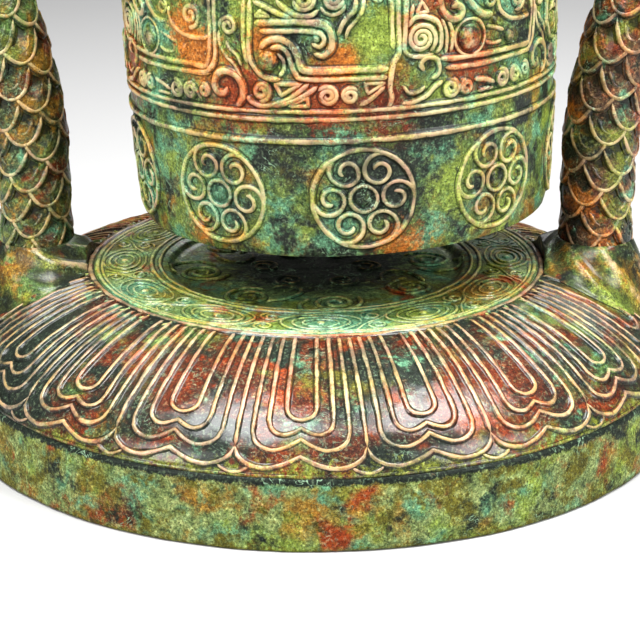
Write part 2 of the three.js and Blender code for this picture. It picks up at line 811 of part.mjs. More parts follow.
const dragonSides = { left: mirrored, right: (solid) => solid };
for (const [side, put] of Object.entries(dragonSides)) {
  place(`${side}_dragon_body`, put(bodySolid), CAST);
  place(`${side}_wave_foot`, put(waveFoot()), RUST);
  place(`${side}_foot_stud`, put(footStud()), STEEL);
  place(`${side}_foot_washer`, put(footWasher()), STEEL);
  place(`${side}_foot_nut`, put(footNut()), STEEL);
  place(`${side}_dragon_skull`, put(skullSolid), CAST);
  place(`${side}_dragon_jaw`, put(jawSolid), CAST);
  place(`${side}_mane`, put(maneSolid), RUST);
  place(`${side}_front_horn`, put(hornSolids[0]), CAST);
  place(`${side}_back_horn`, put(hornSolids[1]), CAST);
  const half = YOKE_PIN.length / 2;
  place(`${side}_yoke_pin`, put(crossBar(YOKE_PIN.radius, pinX - half, pinX + half, pinZ, 12)), STEEL);
}
place("cloud_yoke", yoke(), CAST);

// Hanger eye, pearl seat, pearl and flame, all held by the eye's long shank

function hangerEye() {
  return join(
    torus(EYE.radius, EYE.wire, [EYE.x, 0, eyeZ], false, 24, 8),
    cylinder(EYE.wire, eyeZ + EYE.radius - EYE.wire / 2, boltTop, 0, 0, 12),
  );
}

const pearlAt = (grow) => ball([0, 0, pearlZ], PEARL.radius + grow);

// A small lotus cup on the yoke.
function pearlSeat() {
  const top = seatBottom + PEARL.seatHeight;
  const cup = turned(
    [
      [0, seatBottom],
      [PEARL.seatRadius * 0.74, seatBottom],
      [PEARL.seatRadius * 0.6, seatBottom + PEARL.seatHeight * 0.4],
      [PEARL.seatRadius, top],
      [0, top],
    ],
    16,
  );
  return cut(cup, pearlAt(SEAT_GAP), shankRoom);
}

function flame() {
  const low = pearlZ + PEARL.radius - 2;
  const tongue = (lean, share) =>
    tapered(
      [
        v3(lean * 2, 0, low),
        v3(lean * 4, 0, low + FLAME.height * 0.35 * share),
        v3(lean * 5, 0, low + FLAME.height * 0.7 * share),
        v3(lean * 7.5, 0, low + FLAME.height * share),
      ],
      [0.8, 0.86, 0.45, 0.1].map((part) => FLAME.radius * part * share),
      { sides: 8, steps: 6 },
    );
  const tongues = join(tongue(0, 1), tongue(-1, FLAME.side), tongue(1, FLAME.side));
  return cut(tongues, pearlAt(SEAT_GAP), shankRoom);
}

place("hanger_eye", hangerEye(), STEEL);
place("pearl_seat", pearlSeat(), RUST);
place("pearl", cut(pearlAt(0), shankRoom), RUST);
place("flame_finial", flame(), RUST);

// Everything that swings hangs from the eye, leaning a little towards +X.

const hanging = new THREE.Group();
hanging.position.set(EYE.x, 0, ringTopZ);
hanging.rotation.y = -rad(BELL.lean);
root.add(hanging);

place(
  "suspension_ring",
  torus(RING.radius, RING.wire, [0, 0, -RING.radius], true, 24, 8),
  STEEL,
  hanging,
);

const bellPoints = [...BELL.side, ...BELL.shoulder.map(([r, depth]) => [r, BELL.height - depth])];
const bellCurve = new THREE.SplineCurve(bellPoints.map(([r, z]) => new THREE.Vector2(r, z)));
const fineSteps = 80;
const bellProfile = bellCurve.getPoints(fineSteps).map((p) => [p.x, p.y]);

// The bell's outer radius at a height over its rim.
function bellRadiusAt(height) {
  const i = Math.max(1, bellProfile.findIndex(([, z]) => z >= height));
  const [[ra, za], [rb, zb]] = [bellProfile[i - 1], bellProfile[i]];
  return ra + ((rb - ra) * (height - za)) / (zb - za);
}

function onBell(azimuth, height) {
  const out = v3(Math.sin(rad(azimuth)), -Math.cos(rad(azimuth)), 0);
  return { place: out.clone().multiplyScalar(bellRadiusAt(height)).setZ(height), normal: out };
}

// The outer outline with its ring lines.
function bandedOutline() {
  const half = LINE.width / 2;
  const bands = ORNAMENT.bands.flatMap((z) => [
    [bellRadiusAt(z - half), z - half],
    [bellRadiusAt(z) + LINE.rise, z],
    [bellRadiusAt(z + half), z + half],
  ]);
  const isPlain = ([, z]) => ORNAMENT.bands.every((band) => Math.abs(z - band) > ORNAMENT.bandRoom);
  return [...bellPoints.filter(isPlain), ...bands].sort((a, b) => a[1] - b[1]);
}

// A low round boss with a flat top.
function bossOnBell(azimuth, height) {
  const { bossTop, bossRadius, bossSides } = ORNAMENT;
  const geometry = new THREE.CylinderGeometry(bossTop, bossRadius, LINE.rise + LINE.sunk, bossSides);
  geometry.translate(0, (LINE.rise - LINE.sunk) / 2, 0);
  const { place, normal } = onBell(azimuth, height);
  geometry.applyQuaternion(new THREE.Quaternion().setFromUnitVectors(v3(0, 1, 0), normal));
  geometry.translate(...place);
  return solidOf(geometry);
}

// The roundels in the lowest band, and the upright lines that part the panels.
function bellOrnament() {
  const { bands, ribs, quarters, roundels } = ORNAMENT;
  const { roundelTurn, roundelHeight, roundelRadius, roundelSides } = ORNAMENT;
  const degree = THREE.MathUtils.radToDeg(1 / bellRadius); // degrees in a millimetre
  const made = [];
  for (let i = 0; i < roundels; i++) {
    const azimuth = roundelTurn + (i * 360) / roundels;
    const path = Array.from({ length: roundelSides }, (_, k) => {
      const a = (k / roundelSides) * 2 * Math.PI;
      const across = Math.cos(a) * roundelRadius;
      return onBell(azimuth + across * degree, roundelHeight + Math.sin(a) * roundelRadius);
    });
    made.push(ridge(path, true), bossOnBell(azimuth, roundelHeight));
  }
  const [panelLow, panelHigh] = bands.slice(-2);
  for (let i = 0; i < quarters; i++) {
    for (const rib of ribs) {
      const heights = [panelLow, (panelLow + panelHigh) / 2, panelHigh];
      made.push(ridge(heights.map((height) => onBell(rib + (i * 360) / quarters, height))));
    }
  }
  return made;
}

function bellShell() {
  const inner = bellPoints
    .filter(([, z], i) => z > BELL.lip && i % 2 === 0)
    .map(([r, z], i, all) => {
      const [ra, za] = all[Math.max(i - 1, 0)];
      const [rb, zb] = all[Math.min(i + 1, all.length - 1)];
      const run = Math.hypot(rb - ra, zb - za);
      return [r - (BELL.wall * (zb - za)) / run, z + (BELL.wall * (rb - ra)) / run];
    })
    .reverse();
  const mouth = BELL.side[0][0];
  const shell = turned([
    [0, BELL.height - BELL.wall],
    ...inner,
    [mouth - BELL.lip, BELL.lip],
    [mouth - BELL.lip, 1],
    [mouth - BELL.lip + 1, 0],
    [mouth - 1, 0],
    ...bandedOutline().map(([r, z], i) => (i === 0 ? [r, 1] : [r, z])),
    [0, BELL.height],
  ]);
  const cast = join(shell, ...bellOrnament());
  const shankHole = cylinder(STAPLE.shank + SEAT_GAP, 0, 2 * BELL.height, 0, 0, 14);
  return cut(cast, shankHole).translate([0, 0, -bellDrop]);
}

// The bell's own loop: a two-headed dragon arched over the crown.
function pulaoLoop() {
  const low = crownZ - 2;
  const bar = tapered(
    [
      v3(-LOOP.span, 0, low),
      v3(-LOOP.span, 0, (low + barZ) / 2),
      v3(-LOOP.span * 0.62, 0, barZ - 3),
      v3(0, 0, barZ),
      v3(LOOP.span * 0.62, 0, barZ - 3),
      v3(LOOP.span, 0, (low + barZ) / 2),
      v3(LOOP.span, 0, low),
    ],
    [5.4, 5.2, 4.8, LOOP.bar, 4.8, 5.2, 5.4],
    { sides: 10, steps: 18 },
  );
  const heads = [-1, 1].map((side) =>
    ellipsoid([side * (LOOP.span + 2), 0, crownZ + 4], [9, 8, 7.5], 0, 10, 6),
  );
  const clear = bellPoints.map(([r, z]) => [r, z + SEAT_GAP]);
  const crown = turned([[0, 0], ...clear, [0, BELL.height + SEAT_GAP]]);
  return cut(join(bar, ...heads), crown.translate([0, 0, -bellDrop]));
}

const stapleEyeZ = crownZ - BELL.wall - STAPLE.drop;
// The clapper's wire, in the staple's eye
const clapperTopZ = stapleEyeZ - STAPLE.eye + STAPLE.wire + CLAPPER.wire + RUN_GAP;

function staple() {
  const top = crownZ + STAPLE.washer + STAPLE.nut + 2;
  return join(
    torus(STAPLE.eye, STAPLE.wire, [0, 0, stapleEyeZ], false, 22, 8),
    cylinder(STAPLE.shank, stapleEyeZ + STAPLE.eye, top, 0, 0, 14),
  );
}

const stapleHole = cylinder(STAPLE.shank + SEAT_GAP, crownZ - 40, crownZ + 40, 0, 0, 14);
const washerLow = crownZ + SEAT_GAP;
const washerTop = washerLow + STAPLE.washer;
const nutLow = washerTop + SEAT_GAP;
const innerTop = crownZ - BELL.wall - SEAT_GAP;

place("bell_shell", bellShell(), CAST, hanging);
place("pulao_loop", pulaoLoop(), CAST, hanging);
place("clapper_staple", staple(), STEEL, hanging);
place(
  "staple_washer",
  cut(cylinder(STAPLE.washerRadius, washerLow, washerTop), stapleHole),
  STEEL,
  hanging,
);
place(
  "staple_nut",
  cut(cylinder(STAPLE.nutRadius, nutLow, nutLow + STAPLE.nut, 0, 0, 6), stapleHole),
  STEEL,
  hanging,
);
place(
  "staple_inner_washer",
  cut(cylinder(STAPLE.washerRadius, innerTop - STAPLE.washer, innerTop), stapleHole),
  STEEL,
  hanging,
);

// The clapper hangs plumb while the bell leans.
const plumb = new THREE.Group();
plumb.position.set(0, 0, clapperTopZ);
plumb.rotation.y = rad(BELL.lean);
hanging.add(plumb);

const ballDrop = clapperTopZ + bellDrop - CLAPPER.ballHeight;
const clapperEyeZ = -CLAPPER.eye;

place(
  "clapper_rod",
  join(
    torus(CLAPPER.eye, CLAPPER.wire, [0, 0, clapperEyeZ], true, 22, 8),
    cylinder(CLAPPER.rod, -ballDrop - CLAPPER.tail + 2, clapperEyeZ - CLAPPER.eye, 0, 0, 12),
  ),
  STEEL,
  plumb,
);
const rodHole = cylinder(CLAPPER.rod + SEAT_GAP, -2 * ballDrop, 0, 0, 0, 12);
place(
  "clapper_ball",
  cut(
    join(
      ellipsoid([0, 0, -ballDrop], [CLAPPER.ball, CLAPPER.ball, CLAPPER.ball * 0.95], 0, 16, 10),
      ellipsoid(
        [0, 0, -ballDrop - CLAPPER.tail + 4],
        [CLAPPER.tailRadius, CLAPPER.tailRadius, 7],
        0,
        12,
        6,
      ),
      cylinder(CLAPPER.rod + 2, -ballDrop - CLAPPER.tail + 4, -ballDrop, 0, 0, 12),
    ),
    rodHole,
  ),
  CAST,
  plumb,
);

export default root;
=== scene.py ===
import json
import math
from functools import partial

import bpy
import numpy as np
from mathutils import Matrix, Vector, noise


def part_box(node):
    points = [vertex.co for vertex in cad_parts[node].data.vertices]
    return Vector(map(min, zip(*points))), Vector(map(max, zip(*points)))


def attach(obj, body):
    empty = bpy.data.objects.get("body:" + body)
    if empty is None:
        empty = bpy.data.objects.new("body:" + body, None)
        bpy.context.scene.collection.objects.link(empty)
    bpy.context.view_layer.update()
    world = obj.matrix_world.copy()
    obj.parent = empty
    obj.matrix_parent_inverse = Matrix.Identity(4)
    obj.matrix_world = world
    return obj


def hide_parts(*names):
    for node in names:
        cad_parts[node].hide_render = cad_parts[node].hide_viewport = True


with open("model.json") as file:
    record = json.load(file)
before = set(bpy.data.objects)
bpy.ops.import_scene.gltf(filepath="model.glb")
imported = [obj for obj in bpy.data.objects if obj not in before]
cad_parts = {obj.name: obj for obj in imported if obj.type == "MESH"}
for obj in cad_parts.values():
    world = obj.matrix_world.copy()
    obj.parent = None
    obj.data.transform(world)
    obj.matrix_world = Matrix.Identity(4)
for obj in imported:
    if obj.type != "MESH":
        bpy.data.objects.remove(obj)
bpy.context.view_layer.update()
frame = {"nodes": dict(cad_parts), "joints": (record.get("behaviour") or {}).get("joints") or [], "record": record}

# Lengths are in millimetres and angles in degrees, until a mesh is made.
# Azimuth 0 faces the viewer, towards -Y, and grows towards +X.

MM = 0.001


def low(node):
    return np.array(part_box(node)[0]) / MM


def high(node):
    return np.array(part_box(node)[1]) / MM



# Sizes from the frame

BASE_RADIUS = high("plinth_ring")[0]
BASE_TOP = high("plinth_ring")[2]
DOME_FOOT = high("lotus_dome")[0]
DOME_BOTTOM = low("lotus_dome")[2]
ALTAR_EDGE = high("altar_disc")[0]
ALTAR_Z = high("lotus_dome")[2]
DISH_DEPTH = 3.0
RING_LINE = 62.0
JOINTS = {joint["name"]: joint for joint in frame["joints"]}
HANG = np.array(JOINTS["ring_swing"]["pos_m"]) / MM
LEAN = math.radians(2.0)
BELL_HEIGHT = 191.0
RIM_DIP = 2.8  # how far the leaning rim's lowest point lies under its middle
BELL_DROP = HANG[2] - low("bell_shell")[2] - RIM_DIP
TILT = Matrix.Rotation(-LEAN, 4, "Y")
BELL_LEAN = Matrix.Translation(HANG) @ TILT @ Matrix.Translation((0, 0, -BELL_DROP))
BODY_X = 108.0  # where each dragon's foot stands
NECK_X = 68.0
NECK_Z = 367.36
YOKE_Z = 334.76
YOKE_REACH = 117.0
PEARL_Z = (low("pearl")[2] + high("pearl")[2]) / 2
PEARL_RADIUS = high("pearl")[0]
RADIAN = 57.29578  # degrees in a radian


# Points and paths

def stack(*columns):
    """Points from their coordinates, each a number or an array."""
    return np.stack(np.broadcast_arrays(*columns), -1)


def angles(count):
    """Even steps round a circle, in radians."""
    return np.arange(count) / count * 2 * math.pi


def lengths(points):
    """The length along a path at each of its points."""
    return np.r_[0, np.cumsum(np.linalg.norm(np.diff(points, axis=0), axis=1))]


def grid(v, columns):
    """Angles in degrees and lengths of a grid round a surface."""
    v, u = np.meshgrid(v, np.arange(columns) / columns * 360, indexing="ij")
    return u, v


def smooth_path(points, step=1.0, stretch=1.0):
    """Points about step apart on a smooth curve through the given ones.

    stretch turns both units into mm.
    """
    p = np.asarray(points, float)
    p = np.vstack([2 * p[0] - p[1], p, 2 * p[-1] - p[-2]])
    made = []
    for i in range(1, len(p) - 2):
        a, b, c, d = p[i - 1 : i + 3]
        length = np.linalg.norm((c - b) * stretch)
        count = max(int(math.ceil(length / step)), 1)
        t = (np.arange(count) / count)[:, None]
        curve = 2 * b + (c - a) * t + (2 * a - 5 * b + 4 * c - d) * t**2
        made.append(0.5 * (curve + (3 * b - a - 3 * c + d) * t**3))
    made.append(p[-2][None])
    return np.vstack(made)


def circle(x, y, radius, step=1.0):
    a = angles(max(int(2 * math.pi * radius / step), 10))
    return stack(x + radius * np.cos(a), y + radius * np.sin(a))


def spiral(x, y, outer, inner, turns, start, way=1, step=0.8):
    """A curl that winds in from the outer radius, at the start angle."""
    length = math.pi * turns * (outer + inner)
    count = max(int(length / step), 8)
    t = np.arange(count + 1) / count
    radius = outer + (inner - outer) * t**0.85
    a = math.radians(start) + way * 2 * math.pi * turns * t
    return stack(x + radius * np.cos(a), y + radius * np.sin(a))


def lumps(points, size, seed=0.0):
    """Soft noise from about -1 to 1 at each point."""
    moved = np.asarray(points).reshape(-1, 3) / size + seed
    return np.array([noise.noise(Vector(p)) for p in moved])


# Surfaces. Each gives the point and the normal at (u, v), lifted off its face.

class Round:
    """A surface round a line: u is an angle in degrees and v the length along the line."""

    def __init__(self, points, fine=1.0):
        self.curve = smooth_path(points, fine)
        self.run = lengths(self.curve)
        self.length = self.run[-1]
        self.slope = np.gradient(self.curve, self.run, axis=0)

    def read(self, values, v):
        """Each column of values, which has a row for each point of the line, at v."""
        return [np.interp(v, self.run, column) for column in values.T]

    def degrees(self, v):
        """Degrees in a millimetre at v."""
        return RADIAN / np.maximum(self.radius(v), 1.0)

    def flat(self, points, u, v):
        """A drawing in mm about the point (u, v), as angles and lengths."""
        y = v + points[:, 1]
        return stack(u + points[:, 0] * self.degrees(y), y)


class Turned(Round):
    """A turned surface, from its outline of (radius, height): u is the azimuth."""

    def radius(self, v):
        return np.interp(v, self.run, self.curve[:, 0])

    def at(self, u, v, lift=0.0):
        a = np.radians(u)
        r, z = self.read(self.curve, v)
        dr, dz = self.read(self.slope, v)
        size = np.hypot(dr, dz)
        nr, nz = dz / size, -dr / size
        normal = stack(nr * np.sin(a), -nr * np.cos(a), nz)
        return stack(r * np.sin(a), -r * np.cos(a), z) + normal * np.asarray(lift)[..., None], normal


class Swept(Round):
    """A round bar along a curve in the XZ plane: u is the angle round it, from the viewer's side."""

    def __init__(self, points, radii, flip=1):
        super().__init__(points)
        self.flip = flip
        places = np.linspace(0, len(points) - 1, len(self.run))
        knots = np.interp(np.arange(len(points)), places, self.run)
        self.radii = np.interp(self.run, knots, radii)

    def radius(self, v):
        return np.interp(v, self.run, self.radii)

    def axis(self, v):
        along = stack(*self.read(self.slope, v))
        return stack(*self.read(self.curve, v)), along / np.linalg.norm(along, axis=-1, keepdims=True)

    def at(self, u, v, lift=0.0):
        u, v = np.broadcast_arrays(np.asarray(u, float), np.asarray(v, float))
        point, along = self.axis(v)
        front = np.broadcast_to(np.array([0, -1.0, 0]), point.shape)
        side = np.cross(front, along) * -self.flip
        a = np.radians(u)[..., None]
        normal = np.cos(a) * front + np.sin(a) * side
        return point + normal * (self.radius(v) + np.asarray(lift))[..., None], normal


class Level:
    """A flat face that looks along Y, towards the viewer or away: u is X and v is Z."""

    def __init__(self, y, way=-1):
        self.y, self.way = y, way

    def at(self, u, v, lift=0.0):
        point = stack(np.asarray(u, float), self.y, v)
        normal = np.broadcast_to(np.array([0.0, self.way, 0.0]), point.shape)
        return point + normal * np.asarray(lift)[..., None], normal


class Ball:
    """A sphere: u is the azimuth and v the angle up from its equator."""

    def __init__(self, centre, radius):
        self.centre, self.radius = np.array(centre, float), radius

    def at(self, u, v, lift=0.0):
        a, b = np.radians(u), np.radians(v)
        normal = stack(np.sin(a) * np.cos(b), -np.cos(a) * np.cos(b), np.sin(b))
        return self.centre + normal * (self.radius + np.asarray(lift))[..., None], normal


# Meshes

# Half of a raised line's section: how far out a vertex lies, how high, and how it is rubbed.
# Below 0 it is painted dark, as shade beside the line.
BEAD_HALF = [
    (1.9, -0.25, 0.0), (1.4, -0.02, -0.45), (1.1, 0.08, -0.9), (0.86, 0.42, -0.1), (0.52, 0.87, 0.85),
]
BEAD = np.array([(-x, z, r) for x, z, r in BEAD_HALF] + [(0, 1, 1.0)] + BEAD_HALF[::-1])


def read(items, name, width, kind=float):
    """A property of all of a mesh's vertices or edges, as rows."""
    values = np.zeros(len(items) * width, kind)
    items.foreach_get(name, values)
    return values.reshape(-1, width)


class Piece:
    """Gathers vertices, faces and how far each vertex is rubbed bright, up to 1, or painted dark as shade, below
    0.
    """

    def __init__(self):
        self.points, self.faces, self.rub, self.count = [], [], [], 0

    def add(self, points, faces, rub=0.0):
        points = np.asarray(points, float).reshape(-1, 3)
        rub = np.asarray(rub, float).reshape(-1) if np.ndim(rub) else rub
        self.points.append(points)
        self.rub.append(np.broadcast_to(rub, len(points)))
        self.faces.extend((np.asarray(faces, int) + self.count).tolist())
        self.count += len(points)

    def sheet(self, points, rub=0.0, closed=False):
        """A grid of points, rows along v and columns round u. closed joins the last row to the first."""
        rows, cols = points.shape[:2]
        i = np.arange(rows if closed else rows - 1)[:, None]
        j = np.arange(cols)
        below, above = i * cols, ((i + 1) % rows) * cols
        k = (j + 1) % cols
        faces = np.stack([below + j, below + k, above + k, above + j], -1)
        self.add(points, faces.reshape(-1, 4), rub)

    def fan(self, first, count, way=1):
        """Closes the loop of the count vertices from number first on."""
        self.faces.append([first + i for i in range(count)][::way])

    def bead(self, surface, uv, width, height, closed=False, taper=1.0, rub=1.0):
        """A raised line on a surface along a path of (u, v)."""
        point, normal = surface.at(uv[:, 0], uv[:, 1])
        if closed:
            tangent = np.roll(point, -1, 0) - np.roll(point, 1, 0)
        else:
            tangent = np.gradient(point, axis=0)
        side = np.cross(tangent, normal)
        side /= np.maximum(np.linalg.norm(side, axis=1, keepdims=True), 1e-9)
        count = len(point)
        size = np.ones(count)
        if not closed:
            run = lengths(point)
            near = np.clip(np.minimum(run, run[-1] - run) / max(width * taper, 1e-6), 0, 1)
            size = np.sqrt(np.maximum(1 - (1 - near) ** 2, 0.03))
        uneven = lumps(point, 5.0)
        w = (size * width / 2 * (1 + 0.22 * uneven))[:, None, None]
        h = (size * height * (1 + 0.3 * np.roll(uneven, 7)))[:, None, None]
        point = point + side * (0.18 * uneven)[:, None]
        section = point[:, None] + side[:, None] * BEAD[None, :, :1] * w
        section = section + normal[:, None] * BEAD[None, :, 1:2] * h
        shade = np.where(BEAD[:, 2] > 0, BEAD[:, 2] * rub, BEAD[:, 2])
        base = self.count
        self.sheet(section, np.broadcast_to(shade, (count, len(BEAD))), closed)
        if not closed:
            self.fan(base, len(BEAD), -1)
            self.fan(base + (count - 1) * len(BEAD), len(BEAD))

    def boss(self, surface, u, v, radius, height, rub=0.5):
        """A round bump on a surface."""
        rings, around = 7, 28
        a = angles(around)
        share = np.sin(np.linspace(0.04, 1, rings) * math.pi / 2)[:, None]
        drawing = stack(radius * share * np.cos(a), radius * share * np.sin(a))
        uv = surface.flat(drawing.reshape(-1, 2), u, v).reshape(rings, around, 2)
        lift = height * np.sqrt(np.maximum(1 - share**2, 0)) - 0.15 * share
        points = surface.at(uv[..., 0], uv[..., 1], np.broadcast_to(lift, (rings, around)))[0]
        base = self.count
        # The rim at the boss's foot is marked below 0, painted dark as shade.
        self.sheet(points, np.broadcast_to(rub * (1 - share**4) - 0.6 * share**8, (rings, around)))
        self.fan(base, around)

    def mesh(self, name, place=None):
        points = np.vstack(self.points)
        if place is not None:
            turn = np.array(place)
            points = points @ turn[:3, :3].T + turn[:3, 3]
        data = bpy.data.meshes.new(name)
        data.from_pydata((points * MM).tolist(), [], self.faces)
        attribute = data.attributes.new("rub", "FLOAT", "POINT")
        attribute.data.foreach_set("value", np.concatenate(self.rub).astype(np.float32))
        data.polygons.foreach_set("use_smooth", [True] * len(data.polygons))
        data.validate()
        return data


def show(name, data, material=None):
    """An object with this mesh, light or camera, in the scene."""
    obj = bpy.data.objects.new(name, data)
    bpy.context.scene.collection.objects.link(obj)
    if material:
        data.materials.append(material)
    return obj


def make(piece, name, material, body, *nodes, place=None, slot="green_bronze"):
    obj = show(name, piece.mesh(name, place), material)
    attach(obj, body)
    if nodes:
        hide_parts(*nodes)


class Clay:
    """Overlapping closed forms that are fused into one soft skin."""

    def __init__(self):
        self.points, self.faces, self.count = [], [], 0

    def skin(self, points, around, way):
        """Rings of points, and last the two points that close the ends. way is 1 or -1, for the winding."""
        count = (len(points) - 2) // around
        end, last = count * around, (count - 1) * around
        faces = []
        for i in range(0, last, around):
            above = i + around
            for j in range(around):
                k = (j + 1) % around
                up, over = (k, j) if way > 0 else (j, k)
                second, fourth = (i + k, above + j) if way > 0 else (above + j, i + k)
                faces.append((i + j, second, above + k, fourth))
        for j in range(around):
            k = (j + 1) % around
            near, far = (k, j) if way > 0 else (j, k)
            faces.append((end, near, far))
            faces.append((end + 1, last + far, last + near))
        self.points.append(points)
        self.faces.extend([[i + self.count for i in face] for face in faces])
        self.count += len(points)

    def oval(self, centre, radii, turn=0.0, around=24):
        """turn tips it up from X, in radians."""
        levels = around // 2
        a = angles(around)
        b = (np.arange(1, levels) / levels - 0.5)[:, None] * math.pi
        rings = stack(np.cos(b) * np.cos(a), np.cos(b) * np.sin(a), np.sin(b))
        points = np.vstack([rings.reshape(-1, 3), [[0, 0, -1], [0, 0, 1]]]) * np.array(radii, float)
        c, s = math.cos(turn), math.sin(turn)
        points = points @ np.array([[c, 0, -s], [0, 1, 0], [s, 0, c]]).T + np.array(centre, float)
        self.skin(points, around, 1)

    def tube(self, path, radii, squash=1.0, up=(0, 0, 1), around=12, step=1.0):
        """A tapered bar, squashed along up, with round ends."""
        curve = smooth_path(path, step)
        radius = np.interp(np.linspace(0, 1, len(curve)), np.linspace(0, 1, len(radii)), radii)
        along = np.gradient(curve, axis=0)
        along /= np.maximum(np.linalg.norm(along, axis=1, keepdims=True), 1e-9)
        side = np.cross(along, np.array(up, float))
        side[np.linalg.norm(side, axis=1) < 0.05] = np.array([0, 1, 0])
        side /= np.linalg.norm(side, axis=1, keepdims=True)
        out = np.cross(side, along)
        a = angles(around)
        ring = np.cos(a)[None, :, None] * side[:, None] + np.sin(a)[None, :, None] * out[:, None] * squash
        points = curve[:, None] + ring * radius[:, None, None]
        ends = [curve[0] - along[0] * radius[0] * 0.8, curve[-1] + along[-1] * radius[-1] * 0.8]
        self.skin(np.vstack([points.reshape(-1, 3), ends]), around, -1)

    def pair(self, kind, first, *rest, **more):
        """The same form on both sides of the XZ plane."""
        for way in (1, -1):
            getattr(self, kind)(np.asarray(first, float) * (1, way, 1), *rest, **more)

    def fuse(self, voxel=0.7, soften=2, place=None):
        """A Piece with the fused skin: what stands proud is rubbed bright, and what lies low is painted dark as
        shade.
        """
        data = bpy.data.meshes.new("clay")
        data.from_pydata(np.vstack(self.points).tolist(), [], self.faces)
        obj = show("clay", data)
        remesh = obj.modifiers.new("fuse", "REMESH")
        remesh.mode = "VOXEL"
        remesh.voxel_size = voxel
        made = bpy.data.meshes.new_from_object(obj.evaluated_get(bpy.context.evaluated_depsgraph_get()))
        points = read(made.vertices, "co", 3)
        edges = read(made.edges, "vertices", 2, int)
        faces = [tuple(polygon.vertices) for polygon in made.polygons]
        bpy.data.objects.remove(obj)
        bpy.data.meshes.remove(data)
        degree = np.bincount(edges.ravel(), minlength=len(points))[:, None]

        def spread(values, times):
            for _ in range(times):
                total = np.zeros_like(values)
                for axis in range(values.shape[1]):
                    for one, other in ((0, 1), (1, 0)):
                        pull = values[edges[:, other], axis]
                        total[:, axis] += np.bincount(edges[:, one], pull, len(values))
                values = values + 0.6 * (total / degree - values)
            return values

        points = spread(points, soften)
        flat = bpy.data.meshes.new("normals")
        flat.from_pydata(points.tolist(), [], faces)
        normal = read(flat.vertex_normals, "vector", 3)
        bpy.data.meshes.remove(flat)
        bpy.data.meshes.remove(made)
        points = points + normal * (lumps(points, 2.6) * 0.15)[:, None]
        # Low parts get marks below 0, which paint them dark as shade.
        proud = np.sum((points - spread(points, 9)) * normal, 1) / voxel
        rub = np.clip(spread(proud[:, None], 1)[:, 0] * 2.2 - 0.12, -1, 1)
        if place is not None:
            out = (place(normal[faces[0][:1], :]) - place(np.zeros((1, 3))))[0]
            points = place(points)
            a, b, c = points[list(faces[0][:3])]
            if np.dot(np.cross(b - a, c - b), out) < 0:
                faces = [face[::-1] for face in faces]
        piece = Piece()
        piece.points, piece.rub, piece.count = [points], [rub], len(points)
        piece.faces = [list(face) for face in faces]
        return piece


# Materials

class Paint:
    """Node helpers for one material. Sizes are in mm, in the object's own space."""

    def __init__(self, name, seed):
        self.material = bpy.data.materials.new(name)
        self.material.use_nodes = True
        self.tree = self.material.node_tree
        self.tree.nodes.clear()
        self.seed = seed
        self.coords = self.new("ShaderNodeTexCoord").outputs["Object"]

    def new(self, kind, inputs=(), **settings):
        """A node, with its inputs as numbers, colours or the outputs that feed them."""
        node = self.tree.nodes.new(kind)
        for name, value in settings.items():
            setattr(node, name, value)
        for socket, value in dict(inputs).items():
            if isinstance(value, bpy.types.NodeSocket):
                self.tree.links.new(value, node.inputs[socket])
            elif isinstance(value, tuple) and node.inputs[socket].type == "RGBA":
                node.inputs[socket].default_value = (*value, 1)
            else:
                node.inputs[socket].default_value = value
        return node

    def moved(self, *shift):
        return self.new("ShaderNodeMapping", {"Vector": self.coords, "Location": shift}).outputs[0]

    def noise(self, size, detail=6.0, roughness=0.62, shift=0.0, warp=0.0):
        place = self.moved(self.seed + shift, 0.37 * self.seed - shift, 0.11 * shift)
        inputs = {"Vector": place, "Scale": 1.0 / (size * MM), "Detail": detail}
        inputs.update({"Roughness": roughness, "Distortion": warp})
        return self.new("ShaderNodeTexNoise", inputs).outputs["Fac"]

    def cells(self, size, shift=0.0):
        place = self.moved(self.seed - shift, shift, 0.3 * shift)
        inputs = {"Vector": place, "Scale": 1.0 / (size * MM)}
        return self.new("ShaderNodeTexVoronoi", inputs).outputs["Distance"]

    def step(self, value, start, end, low=0.0, high=1.0):
        inputs = {"Value": value, "From Min": start, "From Max": end, "To Min": low, "To Max": high}
        return self.new("ShaderNodeMapRange", inputs, interpolation_type="SMOOTHSTEP").outputs["Result"]

    def math(self, kind, *values):
        return self.new("ShaderNodeMath", enumerate(values), operation=kind).outputs[0]

    def mix(self, fac, a, b, blend="MIX"):
        inputs = {0: fac, 6: a, 7: b}  # the factor and the two colours
        return self.new("ShaderNodeMix", inputs, data_type="RGBA", blend_type=blend).outputs[2]

    def near(self, place, reach):
        """1 at a place, falling to 0 at its reach."""
        inputs = {0: self.coords, 1: [float(c) * MM for c in place]}
        far = self.new("ShaderNodeVectorMath", inputs, operation="DISTANCE").outputs["Value"]
        return self.step(far, 0.0, reach * MM, 1.0, 0.0)

    def bump(self, height, strength):
        inputs = {"Strength": strength, "Distance": 1.0 * MM, "Height": height}
        return self.new("ShaderNodeBump", inputs).outputs[0]


